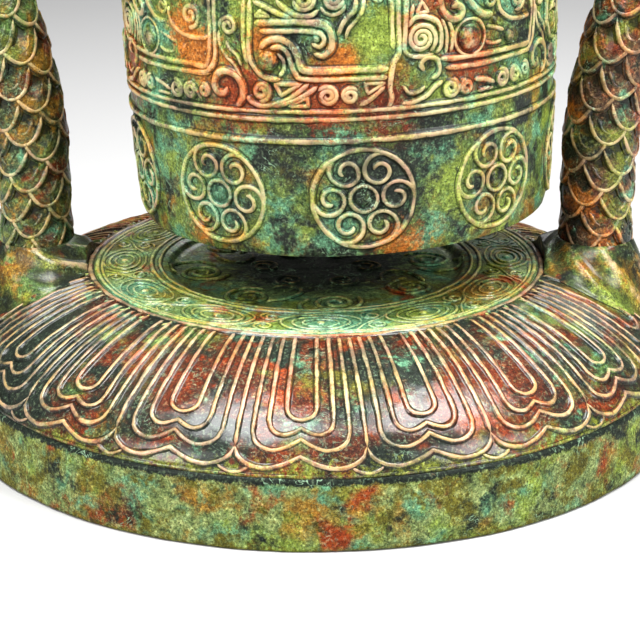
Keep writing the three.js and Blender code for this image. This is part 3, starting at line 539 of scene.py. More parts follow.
def patina(name, tones, fields, ridge, zones=(), levels=(), rough=0.45, gloss=0.35, bump=0.55, seed=0.0,
           veins=0.6, polish=0.2):
    """A cast bronze skin, mottled all over, with the rubbed ridges bright and painted shade in the hollows.

    tones holds its dark, middle and light colour, and ridge three for what is rubbed. fields holds
    (dark, light, size in mm, amount) for the blotches, from the lowest up, zones (dark, light, place, reach,
    strength) for a stain round a place, and levels (dark, light, height, height, strength) for one that
    fades from the first height to the second.
    """
    paint = Paint(name, seed)
    add, times, less = (partial(paint.math, kind) for kind in ("ADD", "MULTIPLY", "SUBTRACT"))
    grain = paint.noise(1.5, 6.0, 0.8, 5.1)
    streaks = paint.noise(4.5, 7.0, 0.72, 8.3, 0.6)
    stipple = add(times(grain, 0.4), times(streaks, 0.6))
    broken = less(paint.noise(3.0, 8.0, 0.8, 1.9), 0.5)
    deep = paint.step(stipple, 0.38, 0.5)
    bright = paint.step(stipple, 0.49, 0.64)

    def stain(colour, where, rough_edge, start, end, dark, light):
        """Two mottled tones over the colour, with a broken edge."""
        mask = paint.step(add(where, times(broken, rough_edge)), start, end)
        middle = tuple(0.55 * d + 0.45 * c for d, c in zip(dark, light))
        return paint.mix(mask, colour, paint.mix(bright, paint.mix(deep, dark, middle), light))

    colour = paint.mix(bright, paint.mix(deep, tones[0], tones[1]), tones[2])
    for i, (dark, light, size, amount) in enumerate(fields):
        blotch = paint.noise(size, 3.0, 0.6, 9.7 + 3.1 * i, 0.4)
        colour = stain(colour, blotch, 0.55, 0.94 - amount, 1.10 - amount, dark, light)
    for dark, light, start, end, strength in levels:
        height = paint.new("ShaderNodeSeparateXYZ", {0: paint.coords}).outputs["Z"]
        fade = paint.step(height, start * MM, end * MM, strength, 0.0)
        colour = stain(colour, fade, 2.0, 0.3, 0.6, dark, light)
    for dark, light, place, reach, strength in zones:
        colour = stain(colour, times(paint.near(place, reach), strength), 1.4, 0.22, 0.58, dark, light)
    if veins:
        line = paint.math("ABSOLUTE", less(paint.noise(8.0, 2.5, 0.6, 12.0, 1.6), 0.5))
        some = paint.step(paint.noise(16, 3.0, 0.6, 14.0), 0.5, 0.6, 0.0, veins)
        ground = paint.new("ShaderNodeRGBToBW", {0: colour}).outputs[0]
        some = times(some, paint.step(ground, 0.03, 0.11, 1.0, 0.0))
        colour = paint.mix(times(paint.step(line, 0.006, 0.022, 1.0, 0.0), some), colour, VEIN)
    shade = paint.step(paint.noise(0.8, 3.0, 0.8, 2.8), 0.3, 0.7, 0.42, 1.5)
    grey = paint.new("ShaderNodeCombineColor", {0: shade, 1: shade, 2: shade}).outputs[0]
    colour = paint.mix(1.0, colour, grey, "MULTIPLY")
    rub = paint.new("ShaderNodeAttribute", attribute_name="rub").outputs["Fac"]
    wear = times(less(paint.noise(7, 8.0, 0.78, 2.2), 0.5), 3.0)
    worn = paint.step(add(rub, wear), 0.32, 0.95)
    tint = paint.mix(paint.step(paint.noise(20, 4.0, 0.7, 7.7), 0.42, 0.58), ridge[0], ridge[1])
    tint = paint.mix(paint.step(paint.noise(13, 5.0, 0.7, 6.1), 0.5, 0.62), tint, ridge[2])
    lit = paint.mix(1.0, colour, (2.2, 2.2, 2.2), "MULTIPLY")
    speck = paint.step(paint.noise(1.1, 2.0, 0.5, 4.4), 0.56, 0.66, 0.0, 0.5)
    colour = paint.mix(speck, colour, paint.mix(0.3, lit, SPECK))
    tint = paint.mix(paint.step(paint.noise(10, 4.0, 0.7, 13.3), 0.4, 0.6, 0.25, 0.75), tint, lit)
    colour = paint.mix(times(worn, 0.92), colour, tint)
    # Painted shade: where the mark falls below 0, in hollows and beside raised lines, the colour goes dark.
    colour = paint.mix(times(paint.step(rub, -0.08, -0.75), 0.75), colour, HOLLOW_SHADE)
    pits = paint.step(paint.cells(1.3, 3.0), 0.16, 0.28, 0.75, 0.0)
    colour = paint.mix(times(pits, paint.step(streaks, 0.5, 0.6)), colour, PIT)
    rise = add(times(grain, 1.2), times(paint.noise(7, 5.0, 0.62, 6.6), 1.1))
    skin = {
        "Base Color": colour,
        "Metallic": 0.0,
        "Specular IOR Level": 0.12,
        "Roughness": paint.step(streaks, 0.3, 0.7, rough - 0.1, rough + 0.2),
        "Coat Weight": gloss,
        "Coat Roughness": polish,
        "Normal": paint.bump(rise, bump),
        "Coat Normal": paint.bump(rise, 0.12 * bump),
    }
    shader = paint.new("ShaderNodeBsdfPrincipled", skin)
    paint.new("ShaderNodeOutputMaterial", {"Surface": shader.outputs[0]})
    return paint.material



# Colours, each as a dark and a light shade
BLACK = ((0.006, 0.009, 0.007), (0.028, 0.038, 0.028))
GREEN = ((0.018, 0.045, 0.014), (0.17, 0.27, 0.075))
MOSS = ((0.045, 0.052, 0.008), (0.28, 0.31, 0.05))
LIME = ((0.07, 0.11, 0.016), (0.31, 0.39, 0.075))
TEAL = ((0.018, 0.08, 0.05), (0.19, 0.42, 0.24))
RUST = ((0.03, 0.008, 0.004), (0.24, 0.040, 0.010))
RED = ((0.10, 0.016, 0.005), (0.40, 0.075, 0.015))
ORANGE = ((0.16, 0.045, 0.006), (0.60, 0.21, 0.03))
OCHRE = ((0.09, 0.045, 0.006), (0.42, 0.23, 0.035))
OLIVE = ((0.035, 0.035, 0.006), (0.21, 0.19, 0.03))
TAN = (0.54, 0.37, 0.16)
CREAM = (0.66, 0.54, 0.31)
PINK = (0.60, 0.39, 0.26)
GOLD = (0.48, 0.28, 0.06)
COPPER = (0.48, 0.19, 0.07)
VEIN = (0.30, 0.46, 0.30)
SPECK = (0.34, 0.46, 0.26)
# Painted shade for hollows and beside raised lines
HOLLOW_SHADE = (0.008, 0.010, 0.006)
PIT = (0.012, 0.014, 0.01)

BELL_OUTLINE = [
    (75.8, 0), (76.9, 5), (78, 20), (79.1, 41), (79.7, 68), (79.3, 94), (77.7, 120), (74.7, 144),
    (70.1, 164), (63.1, 177), (52.5, 184.6), (37.5, 189), (20, 190.7), (3.4, 191),
]
BELL_WALL = 4.2
BELL_LIP = 5.2
bell = Turned(BELL_OUTLINE, fine=0.8)


def on_bell(azimuth, height):
    """The world place of a point on the bell's face."""
    point = bell.at(np.array([azimuth]), np.array([height]))[0][0]
    return BELL_LEAN @ Vector(point)



# Stains on the bell: tones, azimuth, height, reach and strength
BELL_STAINS = [
    (BLACK, 10, 27, 36, 0.66), (BLACK, -14, 34, 24, 0.5), (BLACK, 22, 47, 30, 0.6),
    (BLACK, -8, 46, 22, 0.5), (TEAL, -34, 20, 22, 0.4), (ORANGE, 14, 3, 20, 0.55),
    (ORANGE, -42, 6, 16, 0.45), (RED, -26, 58, 28, 0.62), (RED, -4, 58, 24, 0.66),
    (RUST, 10, 54, 26, 0.6), (ORANGE, -42, 79, 18, 0.6), (ORANGE, -37, 70, 20, 0.7),
    (ORANGE, -19, 76, 14, 0.6), (ORANGE, 0, 70, 13, 0.7), (RED, 16, 80, 14, 0.5),
    (RED, 33, 66, 24, 0.6), (RED, 24, 88, 22, 0.5), (LIME, 9, 79, 17, 0.75), (LIME, 24, 57, 16, 0.5),
    (RUST, 60, 100, 40, 0.5), (RED, -70, 60, 34, 0.5), (BLACK, -20, 140, 40, 0.5),
    (RED, 25, 150, 34, 0.5), (ORANGE, 130, 70, 40, 0.5), (BLACK, 150, 28, 40, 0.55),
    (RED, -120, 58, 44, 0.6), (RUST, 185, 120, 50, 0.5), (BLACK, -150, 30, 36, 0.6),
]
BELL_SKIN = patina(
    "bell_patina",
    (GREEN[0], (0.09, 0.14, 0.035), (0.27, 0.33, 0.09)),
    [(*MOSS, 24, 0.46), (*TEAL, 15, 0.49), (*LIME, 18, 0.44), (*OCHRE, 20, 0.41), (*BLACK, 13, 0.46)],
    (TAN, CREAM, PINK),
    zones=[(*tones, on_bell(u, v), reach, strength) for tones, u, v, reach, strength in BELL_STAINS],
    rough=0.4,
    gloss=0.35,
    seed=1.0,
)
DOME_SKIN = patina(
    "dome_patina",
    (BLACK[0], (0.040, 0.014, 0.009), (0.13, 0.038, 0.018)),
    [
        (*RUST, 20, 0.5), (*RED, 24, 0.45), (*GREEN, 22, 0.42),
        (*OLIVE, 26, 0.41), (*BLACK, 19, 0.5), (*TEAL, 12, 0.35),
    ],
    (TAN, PINK, CREAM),
    levels=[(*MOSS, 27, 38, 0.45)],
    zones=[
        (*BLACK, (-105, -70, 38), 58, 0.8), (*BLACK, (-60, -110, 40), 40, 0.5),
        (*RUST, (-45, -105, 50), 34, 0.5), (*RUST, (60, -100, 44), 40, 0.5),
    ],
    rough=0.45,
    gloss=0.6,
    seed=2.0,
    veins=0.25,
    polish=0.12,
)
DISC_SKIN = patina(
    "altar_patina",
    (GREEN[0], (0.13, 0.21, 0.075), (0.40, 0.48, 0.19)),
    [(*MOSS, 24, 0.46), (*TEAL, 15, 0.47), (*OLIVE, 20, 0.45), (*LIME, 20, 0.42), (*RED, 20, 0.38)],
    (TAN, GOLD, CREAM),
    zones=[
        (*TEAL, (10, -76, ALTAR_Z), 44, 0.55),
        # Painted shadow of the bell: black over the disc's middle, under the bell.
        (*BLACK, (0, 4, ALTAR_Z), 66, 0.9),
        (*TEAL, (-76, -44, ALTAR_Z), 24, 0.6),
        (*OCHRE, (60, -40, ALTAR_Z), 30, 0.5),
    ],
    rough=0.36,
    gloss=0.7,
    seed=3.0,
)
PLINTH_SKIN = patina(
    "plinth_patina",
    ((0.03, 0.05, 0.02), (0.17, 0.22, 0.08), (0.40, 0.44, 0.18)),
    [
        (*OCHRE, 26, 0.47), (*TEAL, 14, 0.44), (*LIME, 22, 0.45),
        (*RED, 18, 0.42), (*OLIVE, 12, 0.45), (*BLACK, 16, 0.40),
    ],
    (CREAM, TAN, TAN),
    # The black band at the top, under the dome's edge, is dark patina and painted shadow of the dome's edge.
    levels=[(*OLIVE, 0, 5, 0.5), (*BLACK, 26.5, 21, 0.95)],
    rough=0.6,
    gloss=0.08,
    bump=0.8,
    seed=4.0,
)
DRAGON_SKIN = patina(
    "dragon_patina",
    (BLACK[0], (0.045, 0.06, 0.025), (0.17, 0.20, 0.07)),
    [(*GREEN, 16, 0.48), (*MOSS, 19, 0.45), (*RUST, 22, 0.46), (*TEAL, 14, 0.38), (*OCHRE, 15, 0.42)],
    (CREAM, PINK, TAN),
    rough=0.38,
    gloss=0.5,
    seed=5.0,
)
RUST_DRAGON_SKIN = patina(
    "right_dragon_patina",
    (BLACK[0], (0.08, 0.04, 0.022), (0.25, 0.15, 0.075)),
    [(*RED, 18, 0.48), (*ORANGE, 20, 0.47), (*MOSS, 19, 0.44), (*BLACK, 14, 0.48), (*TEAL, 15, 0.38)],
    (CREAM, PINK, TAN),
    rough=0.35,
    gloss=0.6,
    seed=9.0,
)
FOOT_SKIN = patina(
    "foot_patina",
    (BLACK[0], (0.035, 0.045, 0.015), (0.14, 0.15, 0.05)),
    [(*MOSS, 18, 0.45), (*GREEN, 14, 0.48), (*OCHRE, 18, 0.43), (*RED, 12, 0.38), (*BLACK, 12, 0.45)],
    (CREAM, PINK, PINK),
    zones=[(*LIME, (112, -26, 44), 34, 0.55), (*OCHRE, (130, -10, 44), 30, 0.6)],
    rough=0.4,
    gloss=0.45,
    seed=7.0,
)
IRON_SKIN = patina(
    "iron",
    ((0.02, 0.018, 0.016), (0.05, 0.042, 0.035), (0.10, 0.08, 0.06)),
    [(*RUST, 12, 0.44), (*BLACK, 9, 0.45)],
    ((0.3, 0.27, 0.22), (0.26, 0.2, 0.15), (0.2, 0.12, 0.07)),
    rough=0.45,
    gloss=0.2,
    seed=6.0,
    veins=0.0,
)


# Base

PETALS = 19
PETAL_PITCH = 360 / PETALS
FIRST_PETAL = -2.1  # azimuth of the petal that faces the viewer
# Each of a petal's nested lines: half width as a share of half a petal, lowest point, and its notch.
PETAL_LINES = ((0.25, 20.0, 0.0), (0.52, 14.4, 2.3), (0.76, 8.8, 4.1), (1.0, 2.8, 4.0))
PETAL_LINE_WIDTH = 2.0
PETAL_LINE_HEIGHT = 0.85
PETAL_LOBE = 0.52  # where a petal's two lobes are lowest, as a share of its half width
DOME_BULGE = 1.5
DOME_EDGE = ALTAR_EDGE + 0.3


def dome_z(radius):
    """The height of the dome's skin at a radius."""
    share = np.clip((radius - DOME_EDGE) / (DOME_FOOT - DOME_EDGE), 0, 1)
    return DOME_BOTTOM + (ALTAR_Z - DOME_BOTTOM) * (1 - share**DOME_BULGE) ** (1 / DOME_BULGE)


def dome_outline():
    share = np.sin(np.linspace(0, math.pi / 2, 24))
    radius = DOME_EDGE + (DOME_FOOT - DOME_EDGE) * share
    return stack(radius, dome_z(radius))


dome = Turned(dome_outline()[::-1], fine=0.5)


def lathe(piece, surface, columns, rows, rub=0.0, wobble=0.0, size=30.0):
    """A whole turned surface, with a slow wobble like a hand-finished casting's."""
    u, v = grid(np.linspace(0.0, surface.length, rows), columns)
    point, normal = surface.at(u, v)
    if wobble:
        lift = lumps(point, size).reshape(v.shape) * wobble
        lift += lumps(point, 4.0, 3.0).reshape(v.shape) * 0.12
        point = point + normal * lift[..., None]
    piece.sheet(point, rub)


def ring_line(piece, surface, v, width, height, **more):
    piece.bead(surface, stack(np.arange(0, 360, 0.8), float(v)), width, height, closed=True, **more)


def petal(piece, centre):
    """Four nested raised lines. v runs up from the dome's foot."""
    half = PETAL_PITCH / 2
    top = dome.length - 2.0
    for share, floor, notch in PETAL_LINES:
        width = half * share
        round_up = 7.0 * (0.55 + 0.45 * share)
        side = np.linspace(top, floor + round_up, 26)
        a = np.linspace(-1, 1, 37)
        lobe = PETAL_LOBE if notch else 0.0
        outer = np.clip((np.abs(a) - lobe) / (1 - lobe), 0, 1)
        inner = np.clip(1 - np.abs(a) / max(lobe, 0.01), 0, 1) ** 1.6
        bottom = floor + round_up * (1 - np.sqrt(1 - outer**2)) + notch * inner
        body = stack(centre + a * width, bottom)
        left = stack(centre - width, side)
        if share == 1.0:
            piece.bead(dome, left, PETAL_LINE_WIDTH, PETAL_LINE_HEIGHT)
            piece.bead(dome, body, PETAL_LINE_WIDTH, PETAL_LINE_HEIGHT, taper=0.3)
        else:
            right = stack(centre + width, side[::-1])
            piece.bead(dome, np.vstack([left[:-1], body, right[1:]]), PETAL_LINE_WIDTH, PETAL_LINE_HEIGHT)
    a = np.linspace(-1, 1, 13)
    tip = stack(centre + half + a * 0.24 * half, 0.9 + 2.2 * a**2)
    piece.bead(dome, tip, 1.4, 0.6)


def lotus_dome():
    piece = Piece()
    lathe(piece, dome, 540, 72, wobble=0.3)
    for i in range(PETALS):
        petal(piece, FIRST_PETAL + i * PETAL_PITCH)
    ring_line(piece, dome, dome.length - 1.1, 2.4, 0.8)
    ring_line(piece, dome, 0.2, 1.2, 0.35, rub=0.3)
    make(piece, "dome_casting", DOME_SKIN, "stand", "lotus_dome", slot="rust_bronze")


def plinth():
    r, z = BASE_RADIUS, BASE_TOP
    outline = [
        (r - 5, 0.0), (r - 1.6, 0.0), (r - 0.4, 0.5), (r - 0.05, 1.8), (r - 0.3, 8), (r - 0.7, 16),
        (r - 1.2, z - 2.4), (r - 1.5, z - 1.0), (r - 2.3, z - 0.15), (r - 3.6, z), (r - 6.0, z),
    ]
    side = Turned(outline, fine=0.4)
    piece = Piece()
    lathe(piece, side, 720, 60, wobble=0.35, size=18)
    make(piece, "plinth_casting", PLINTH_SKIN, "stand", "plinth_ring")


EYES = 12  # eyes in the altar's scroll band
EYE_RADIUS = 74.0


def altar():
    r, z = ALTAR_EDGE, ALTAR_Z
    dish = RING_LINE - 2.0
    floor_z = z - DISH_DEPTH
    outline = [
        (r, z - 4.0), (r, z - 0.2), (r - 0.4, z + 0.2), (r - 3, z), (dish, z), (dish - 5, z - 2.6),
        (dish - 12, floor_z), (0.05, floor_z),
    ]
    top = Turned(outline, fine=0.5)
    piece = Piece()
    lathe(piece, top, 480, 150, wobble=0.2)

    def v_at(radius):
        """The length along the outline at a radius, which falls from edge to middle."""
        return float(np.interp(-radius, -top.curve[:, 0], top.run))

    for radius, width, height in ((r - 1.3, 1.9, 0.7), (82.6, 1.2, 0.5), (63.6, 1.7, 0.8), (60.4, 1.4, 0.7)):
        ring_line(piece, top, v_at(radius), width, height)
    pitch = 360 / EYES
    middle = v_at(EYE_RADIUS)
    for i in range(EYES):
        centre = 1.5 + i * pitch
        for size in (8.2, 5.9, 3.7):
            a = np.linspace(0, 2 * math.pi, 60, endpoint=False)
            drawing = stack(size * 1.75 * np.cos(a), size * np.sin(a))
            piece.bead(top, top.flat(drawing, centre, middle), 1.2, 0.55, closed=True, rub=0.75)
        piece.boss(top, centre, middle, 1.7, 0.9, rub=1.0)
        gap = centre + pitch / 2
        for way in (-1, 1):
            curl = spiral(0, 0, 3.6, 0.8, 1.4, 90 * way, way)
            curl[:, 0] *= 1.2
            piece.bead(top, top.flat(curl, gap, middle + way * 4.6), 1.2, 0.55, rub=0.75)
        wave = smooth_path([(-9, -8), (-4, -2.5), (0, 0), (4, 2.5), (9, 8)], 0.8)
        piece.bead(top, top.flat(wave, gap, middle), 1.2, 0.5, rub=0.75)
    for i in range(8):
        centre = i * 45 + 10
        curl = spiral(0, 0, 10, 1.6, 2.1, 30 + 8 * i, 1 if i % 2 else -1)
        piece.bead(top, top.flat(curl, centre, v_at(44)), 2.0, 0.8, rub=0.6)
        hook = smooth_path([(9, -3), (14, 4), (13, 12), (6, 15), (1, 12)], 0.9)
        piece.bead(top, top.flat(hook * (1 if i % 2 else -1), centre, v_at(42)), 2.0, 0.8, rub=0.6)
    for i in range(6):
        curl = spiral(0, 0, 6.5, 1.5, 1.6, 60 * i, -1)
        piece.bead(top, top.flat(curl, i * 60 + 30, v_at(20)), 1.8, 0.7, rub=0.6)
    for i in range(40):
        centre = 36 + i * 7.2
        leaf = smooth_path([(-1.2, -1.8), (0.2, -0.6), (1.0, 0.8), (0.4, 1.9)], 0.5)
        piece.bead(dome, dome.flat(leaf, -centre, dome.length - 3.4), 1.1, 0.5)
    make(piece, "altar_casting", DISC_SKIN, "stand", "altar_disc")


# Bell

# The relief between the upper and lower ring lines repeats every quarter turn, and its
# panels are the same above and below their middle height. Points are (azimuth, height).
PANEL_MIDDLE = 91.0
QUARTERS = 4
WIDE, PLAIN, FINE = (3.1, 1.2), (2.35, 1.0), (1.8, 0.8)

PANEL_LINES = [
    # ribs left of the hook panel, which turn out along its lower edge
    (PLAIN, [(-33.5, 91), (-33.5, 80), (-34.4, 69.5), (-36, 66.8), (-40, 67.2)]),
    (PLAIN, [(-32, 91), (-32, 79.5), (-32.5, 70), (-34, 66.4), (-36, 64.8), (-40, 64.5)]),
    # column with a curl and a stem
    (FINE, [(-31, 80), (-30.6, 74.5), (-29, 71), (-27, 68.5), (-25.6, 65), (-25, 61)]),
    (FINE, [(-29, 76.5), (-28, 74), (-26, 71.5), (-25, 68)]),
    (WIDE, [
        (-27, 53.8), (-25.2, 57), (-25, 61), (-26.5, 64.6), (-29.5, 66), (-32, 64.4), (-33, 61),
        (-32, 58.4), (-30, 58.6), (-29.4, 60.4),
    ]),
    # frame of the hook panel
    (PLAIN, [(-23.6, 91), (-24, 82), (-24, 74.5), (-23.4, 69)]),
    (PLAIN, [(-22, 91), (-22.4, 82), (-22.8, 74.5), (-22.3, 69.5), (-20.5, 66), (-18, 64.2), (-15, 64)]),
    # upper hook
    (WIDE, [
        (-21.2, 83), (-12, 83.5), (-5, 83.2), (-2.8, 81.2), (-2, 77.6), (-2.6, 74), (-4.5, 72.2),
        (-6.6, 73),
    ]),
    (PLAIN, [(-20, 80.3), (-12, 80.5), (-6.2, 80.3), (-4.3, 79), (-4, 76.8), (-5.2, 75.2), (-7, 76.3)]),
    # lower hook
    (WIDE, [
        (-20, 74.3), (-18, 76.9), (-15, 77.9), (-12.2, 76.2), (-10.7, 73), (-10, 69.3), (-8.3, 67),
        (1, 66.9), (11.5, 66.7),
    ]),
    (PLAIN, [
        (-17.4, 74.6), (-15, 75.2), (-13, 73.4), (-12, 69.2), (-11, 65.8), (-9.2, 64.2), (1, 64),
        (11.2, 63.8),
    ]),
    (FINE, [(-15.6, 73), (-14.1, 70.5), (-14.1, 67.2), (-15.4, 64.8)]),
    # arcs and slanted lines at the panel's middle
    (PLAIN, [(-15.4, 91), (-12.8, 87.6), (-10, 85.7), (-7, 85.7), (-5, 87.4)]),
    (FINE, [(-4.6, 88.5), (-3.5, 86.5), (-1.5, 85.7), (0.6, 87), (1.4, 89)]),
    (PLAIN, [(-21.4, 90.4), (-18.5, 88.8), (-15, 86.5), (-11.5, 84.9)]),
    (FINE, [(-20.8, 85.4), (-19.4, 87.2), (-17.2, 85.4), (-20.8, 85.4)]),
    # stepped line right of the hooks
    (PLAIN, [(4, 91), (3.5, 87), (1.7, 84.5), (0.4, 82.2), (-0.6, 78.6)]),
    (FINE, [(6, 91), (5.4, 86.5), (3.4, 83), (1.8, 80.4), (1.2, 77.4)]),
    # ribs and the ragged line right of the bare field
    (PLAIN, [(12.6, 91), (12.4, 80), (12.8, 73)]),
    (PLAIN, [
        (14.2, 91), (14.1, 79.5), (14.1, 72), (12.7, 68.5), (12.1, 64.5), (11.6, 60), (12, 56.5),
        (11, 53),
    ]),
    # frame of the spiral panel
    (PLAIN, [(16.4, 91), (16, 83.5), (15.6, 77.5), (15.4, 72.6), (17, 70.2), (20, 69.6), (23, 70)]),
    (FINE, [(18, 87.5), (17.2, 82.8)]),
    (PLAIN, [(16.2, 80), (18, 82.8), (21, 83), (24, 81), (25, 77), (24.8, 72.6), (23.4, 70.2)]),
    (FINE, [(25.4, 81.5), (26.6, 76), (26.2, 69.6)]),
    (FINE, [(27.1, 81), (28.3, 76), (27.6, 69.6)]),
    (FINE, [(18.8, 84.4), (20.2, 88), (21.7, 84.6), (18.8, 84.4)]),
    # brow hooks over the eye
    (WIDE, [(25, 91), (25, 88), (25.8, 84), (28, 81.3), (30.4, 81.5), (31, 84), (29.6, 85.6), (28, 84.8)]),
    (WIDE, [(33, 91), (33.2, 87), (35, 83.8), (37.6, 81.2), (41, 80.4)]),
    (FINE, [(38.5, 76.7), (42, 75.4), (45, 74)]),
    (FINE, [(38, 71.4), (41, 70.2), (44, 70.6)]),
    # lower edge of the spiral panel
    (PLAIN, [(24.5, 68), (33.5, 67.4), (43.5, 67.2), (56, 67.2)]),
    (PLAIN, [(26, 64.7), (33.5, 64.3), (43.5, 64.3), (56, 64.5)]),
    (PLAIN, [(42.5, 86), (43.5, 81), (47, 77.6), (52, 76.5), (56, 77)]),
    (PLAIN, [(20.4, 64.4), (19.5, 67), (21, 69), (23.5, 68.4), (24.4, 65.4), (23.8, 62.7), (21.8, 61.7)]),
]

# The scroll band under the panels, and its twin over them
BAND_LINES = [
    (PLAIN, [(-24, 58), (-22.4, 55.6), (-19.5, 54.7), (-14, 56.6), (-10.5, 60), (-8, 62.5)]),
    (PLAIN, [(-17.5, 54.6), (-12.5, 56.4), (-9, 58.8), (-6, 61.6)]),
    (FINE, [(-16.5, 62.4), (-10, 62.4), (-15, 58.4), (-16.5, 62.4)]),
    (FINE, [(-13, 54.8), (-8.6, 57.8), (-8.4, 54.8), (-13, 54.8)]),
    (PLAIN, [(4, 54.6), (7, 56.8), (10.4, 60.6)]),
    (FINE, [(5.5, 62), (10.2, 61.8), (6.2, 58.6), (5.5, 62)]),
    (PLAIN, [(14.5, 54), (18, 54.6), (21, 56.2), (23, 58.7), (25.4, 60.4)]),
    (FINE, [(14.8, 60.5), (16.4, 57.6), (19, 57.8), (20.6, 59.4)]),
    (PLAIN, [(34.5, 59), (38, 58.4), (41.5, 56.4)]),
    (FINE, [(35.6, 54.6), (38, 55), (41, 54.8)]),
    (FINE, [(-40.5, 60.6), (-38.6, 57.4), (-37.5, 54.8)]),
]

# Curls: azimuth, height, outer radius, turns, start angle and way round
PANEL_CURLS = [
    (PLAIN, -28.2, 81.5, 3.5, 1.7, 200, -1),
    (PLAIN, 19.8, 75.8, 5.6, 2.6, -60, 1),
    (PLAIN, 50.5, 84, 4.4, 1.8, 250, 1),
    (FINE, 40, 85.6, 3.2, 1.5, 120, -1),
]
MIDDLE_CURLS = [
    (PLAIN, -8.2, 91, 3.9, 2.1, 180, 1),
    (PLAIN, -1.4, 91, 3.4, 1.9, 0, -1),
    (FINE, 9.4, 91, 2.2, 1.2, 90, 1),
]
BAND_CURLS = [
    (PLAIN, -20, 59.6, 3.5, 1.8, 250, 1),
    (PLAIN, -3.6, 58.2, 3.7, 2.0, 150, -1),
    (PLAIN, 1.8, 58.2, 3.0, 1.8, 30, 1),
    (PLAIN, 27.6, 57.4, 3.3, 1.9, 90, -1),
    (PLAIN, 32.2, 57.2, 2.8, 1.7, 90, 1),
    (PLAIN, 44, 57.4, 3.4, 1.8, 120, -1),
    (PLAIN, 49, 57.6, 3.0, 1.8, 60, 1),
    (FINE, 53.6, 58.4, 2.6, 1.6, 120, -1),
]

# Round bumps: azimuth, height, radius, rise
PANEL_BOSSES = [
    (-18, 70.2, 3.7, 1.6), (-5.9, 77.9, 1.5, 1.2), (33.4, 74, 4.9, 2.1), (47, 71.6, 2.6, 1.3),
    (24.2, 86.4, 1.3, 1.0), (-28.2, 71.0, 1.2, 0.8), (41.6, 78.2, 1.4, 0.8), (9.2, 70.4, 0.9, 0.5),
]
RING_LINES = [(42.3, 2.6, 1.0), (49.9, 2.2, 0.9), (52.7, 2.0, 0.9)]
SHOULDER_LINES = [(141, 2.2, 1.0), (145, 1.6, 0.8), (185.5, 2.0, 0.9), (196, 1.6, 0.8)]
CROWN_PETALS = 16
ROUNDELS = (-73, -34.2, 4.5, 42.9, 83.6, 124.3, 165, 205.7, 246.4)  # azimuths, a little uneven
# A roundel's curl: how far from its own middle its line is, at every 60 degrees on its way in from the ring
CURL_REACH = [6.8, 6.0, 5.1, 4.5, 4.1, 3.7, 3.1, 2.3, 1.5]
CURLS = 6
ROUNDEL_HEIGHT = 21.5
ROUNDEL_RADIUS = 17.7
CURL_MIDDLE = 11.1  # from a roundel's middle to a curl's

MM_ROUND_BELL = (1.39, 1.0)  # mm in a degree and in a millimetre on the bell's side


def bell_bead(piece, style, points, shift=0.0, mirror=False):
    """A raised line through (azimuth, height) points."""
    points = np.array(points, float)
    if mirror:
        points[:, 1] = 2 * PANEL_MIDDLE - points[:, 1]
    corner = len(points) == 4 and np.allclose(points[0], points[3])
    if corner:
        path = np.vstack([np.linspace(points[i], points[i + 1], 9)[:-1] for i in range(3)])
    else:
        path = smooth_path(points, 0.8, MM_ROUND_BELL)
    width, height = style
    piece.bead(bell, path + (shift, 0), width, height, closed=corner)


def bell_curl(piece, style, u, v, radius, turns, start, way, shift=0.0, mirror=False):
    drawing = spiral(0, 0, radius, 0.7, turns, start, way, 0.7)
    if mirror:
        drawing[:, 1] *= -1
        v = 2 * PANEL_MIDDLE - v
    piece.bead(bell, bell.flat(drawing, u + shift, v), *style)


def quarter(piece, shift):
    for mirror in (False, True):
        for style, points in PANEL_LINES + BAND_LINES:
            bell_bead(piece, style, points, shift, mirror)
        for curl in PANEL_CURLS + BAND_CURLS:
            bell_curl(piece, *curl, shift=shift, mirror=mirror)
        for u, v, radius, rise in PANEL_BOSSES:
            height = 2 * PANEL_MIDDLE - v if mirror else v
            piece.boss(bell, u + shift, height, radius, rise)
        eye = bell.flat(circle(0, 0, 6.3, 0.8), 33.4 + shift, 108 if mirror else 74)
        piece.bead(bell, eye, 1.5, 0.8, closed=True)
    for curl in MIDDLE_CURLS:
        bell_curl(piece, *curl, shift=shift)


def roundel(piece, centre, turn):
    """A ring, six curls that leave it, and a domed boss in a smaller ring."""

    def put(drawing):
        return bell.flat(drawing, centre, ROUNDEL_HEIGHT)

    piece.bead(bell, put(circle(0, 0, ROUNDEL_RADIUS)), 2.3, 1.1, closed=True)
    piece.bead(bell, put(circle(0, 0, 4.7)), 2.0, 1.0, closed=True)
    piece.boss(bell, centre, ROUNDEL_HEIGHT, 3.2, 1.0, rub=0.2)
    step = np.arange(len(CURL_REACH)) * 60.0
    fine = np.arange(0, step[-1] + 1, 8.0)
    reach = np.interp(fine, step, CURL_REACH)
    for i in range(CURLS):
        angle = turn + i * 360 / CURLS
        a = np.radians(angle - 14 + fine)
        middle = CURL_MIDDLE * np.array([math.cos(math.radians(angle)), math.sin(math.radians(angle))])
        curl = middle + stack(reach * np.cos(a), reach * np.sin(a))
        piece.bead(bell, put(smooth_path(curl, 0.8)), 2.1, 1.0)


def crown(piece):
    """Petals round the bell's shoulder."""
    pitch = 360 / CROWN_PETALS
    for i in range(CROWN_PETALS):
        for share, tip in ((0.92, 148.5), (0.62, 153.5), (0.3, 159)):
            a = np.linspace(-1, 1, 29)
            rise = 30.0 * np.abs(a) ** 2.6
            path = stack(i * pitch + a * share * pitch / 2, tip + rise * (1.1 - 0.1 * share))
            piece.bead(bell, path, 1.8, 0.9)


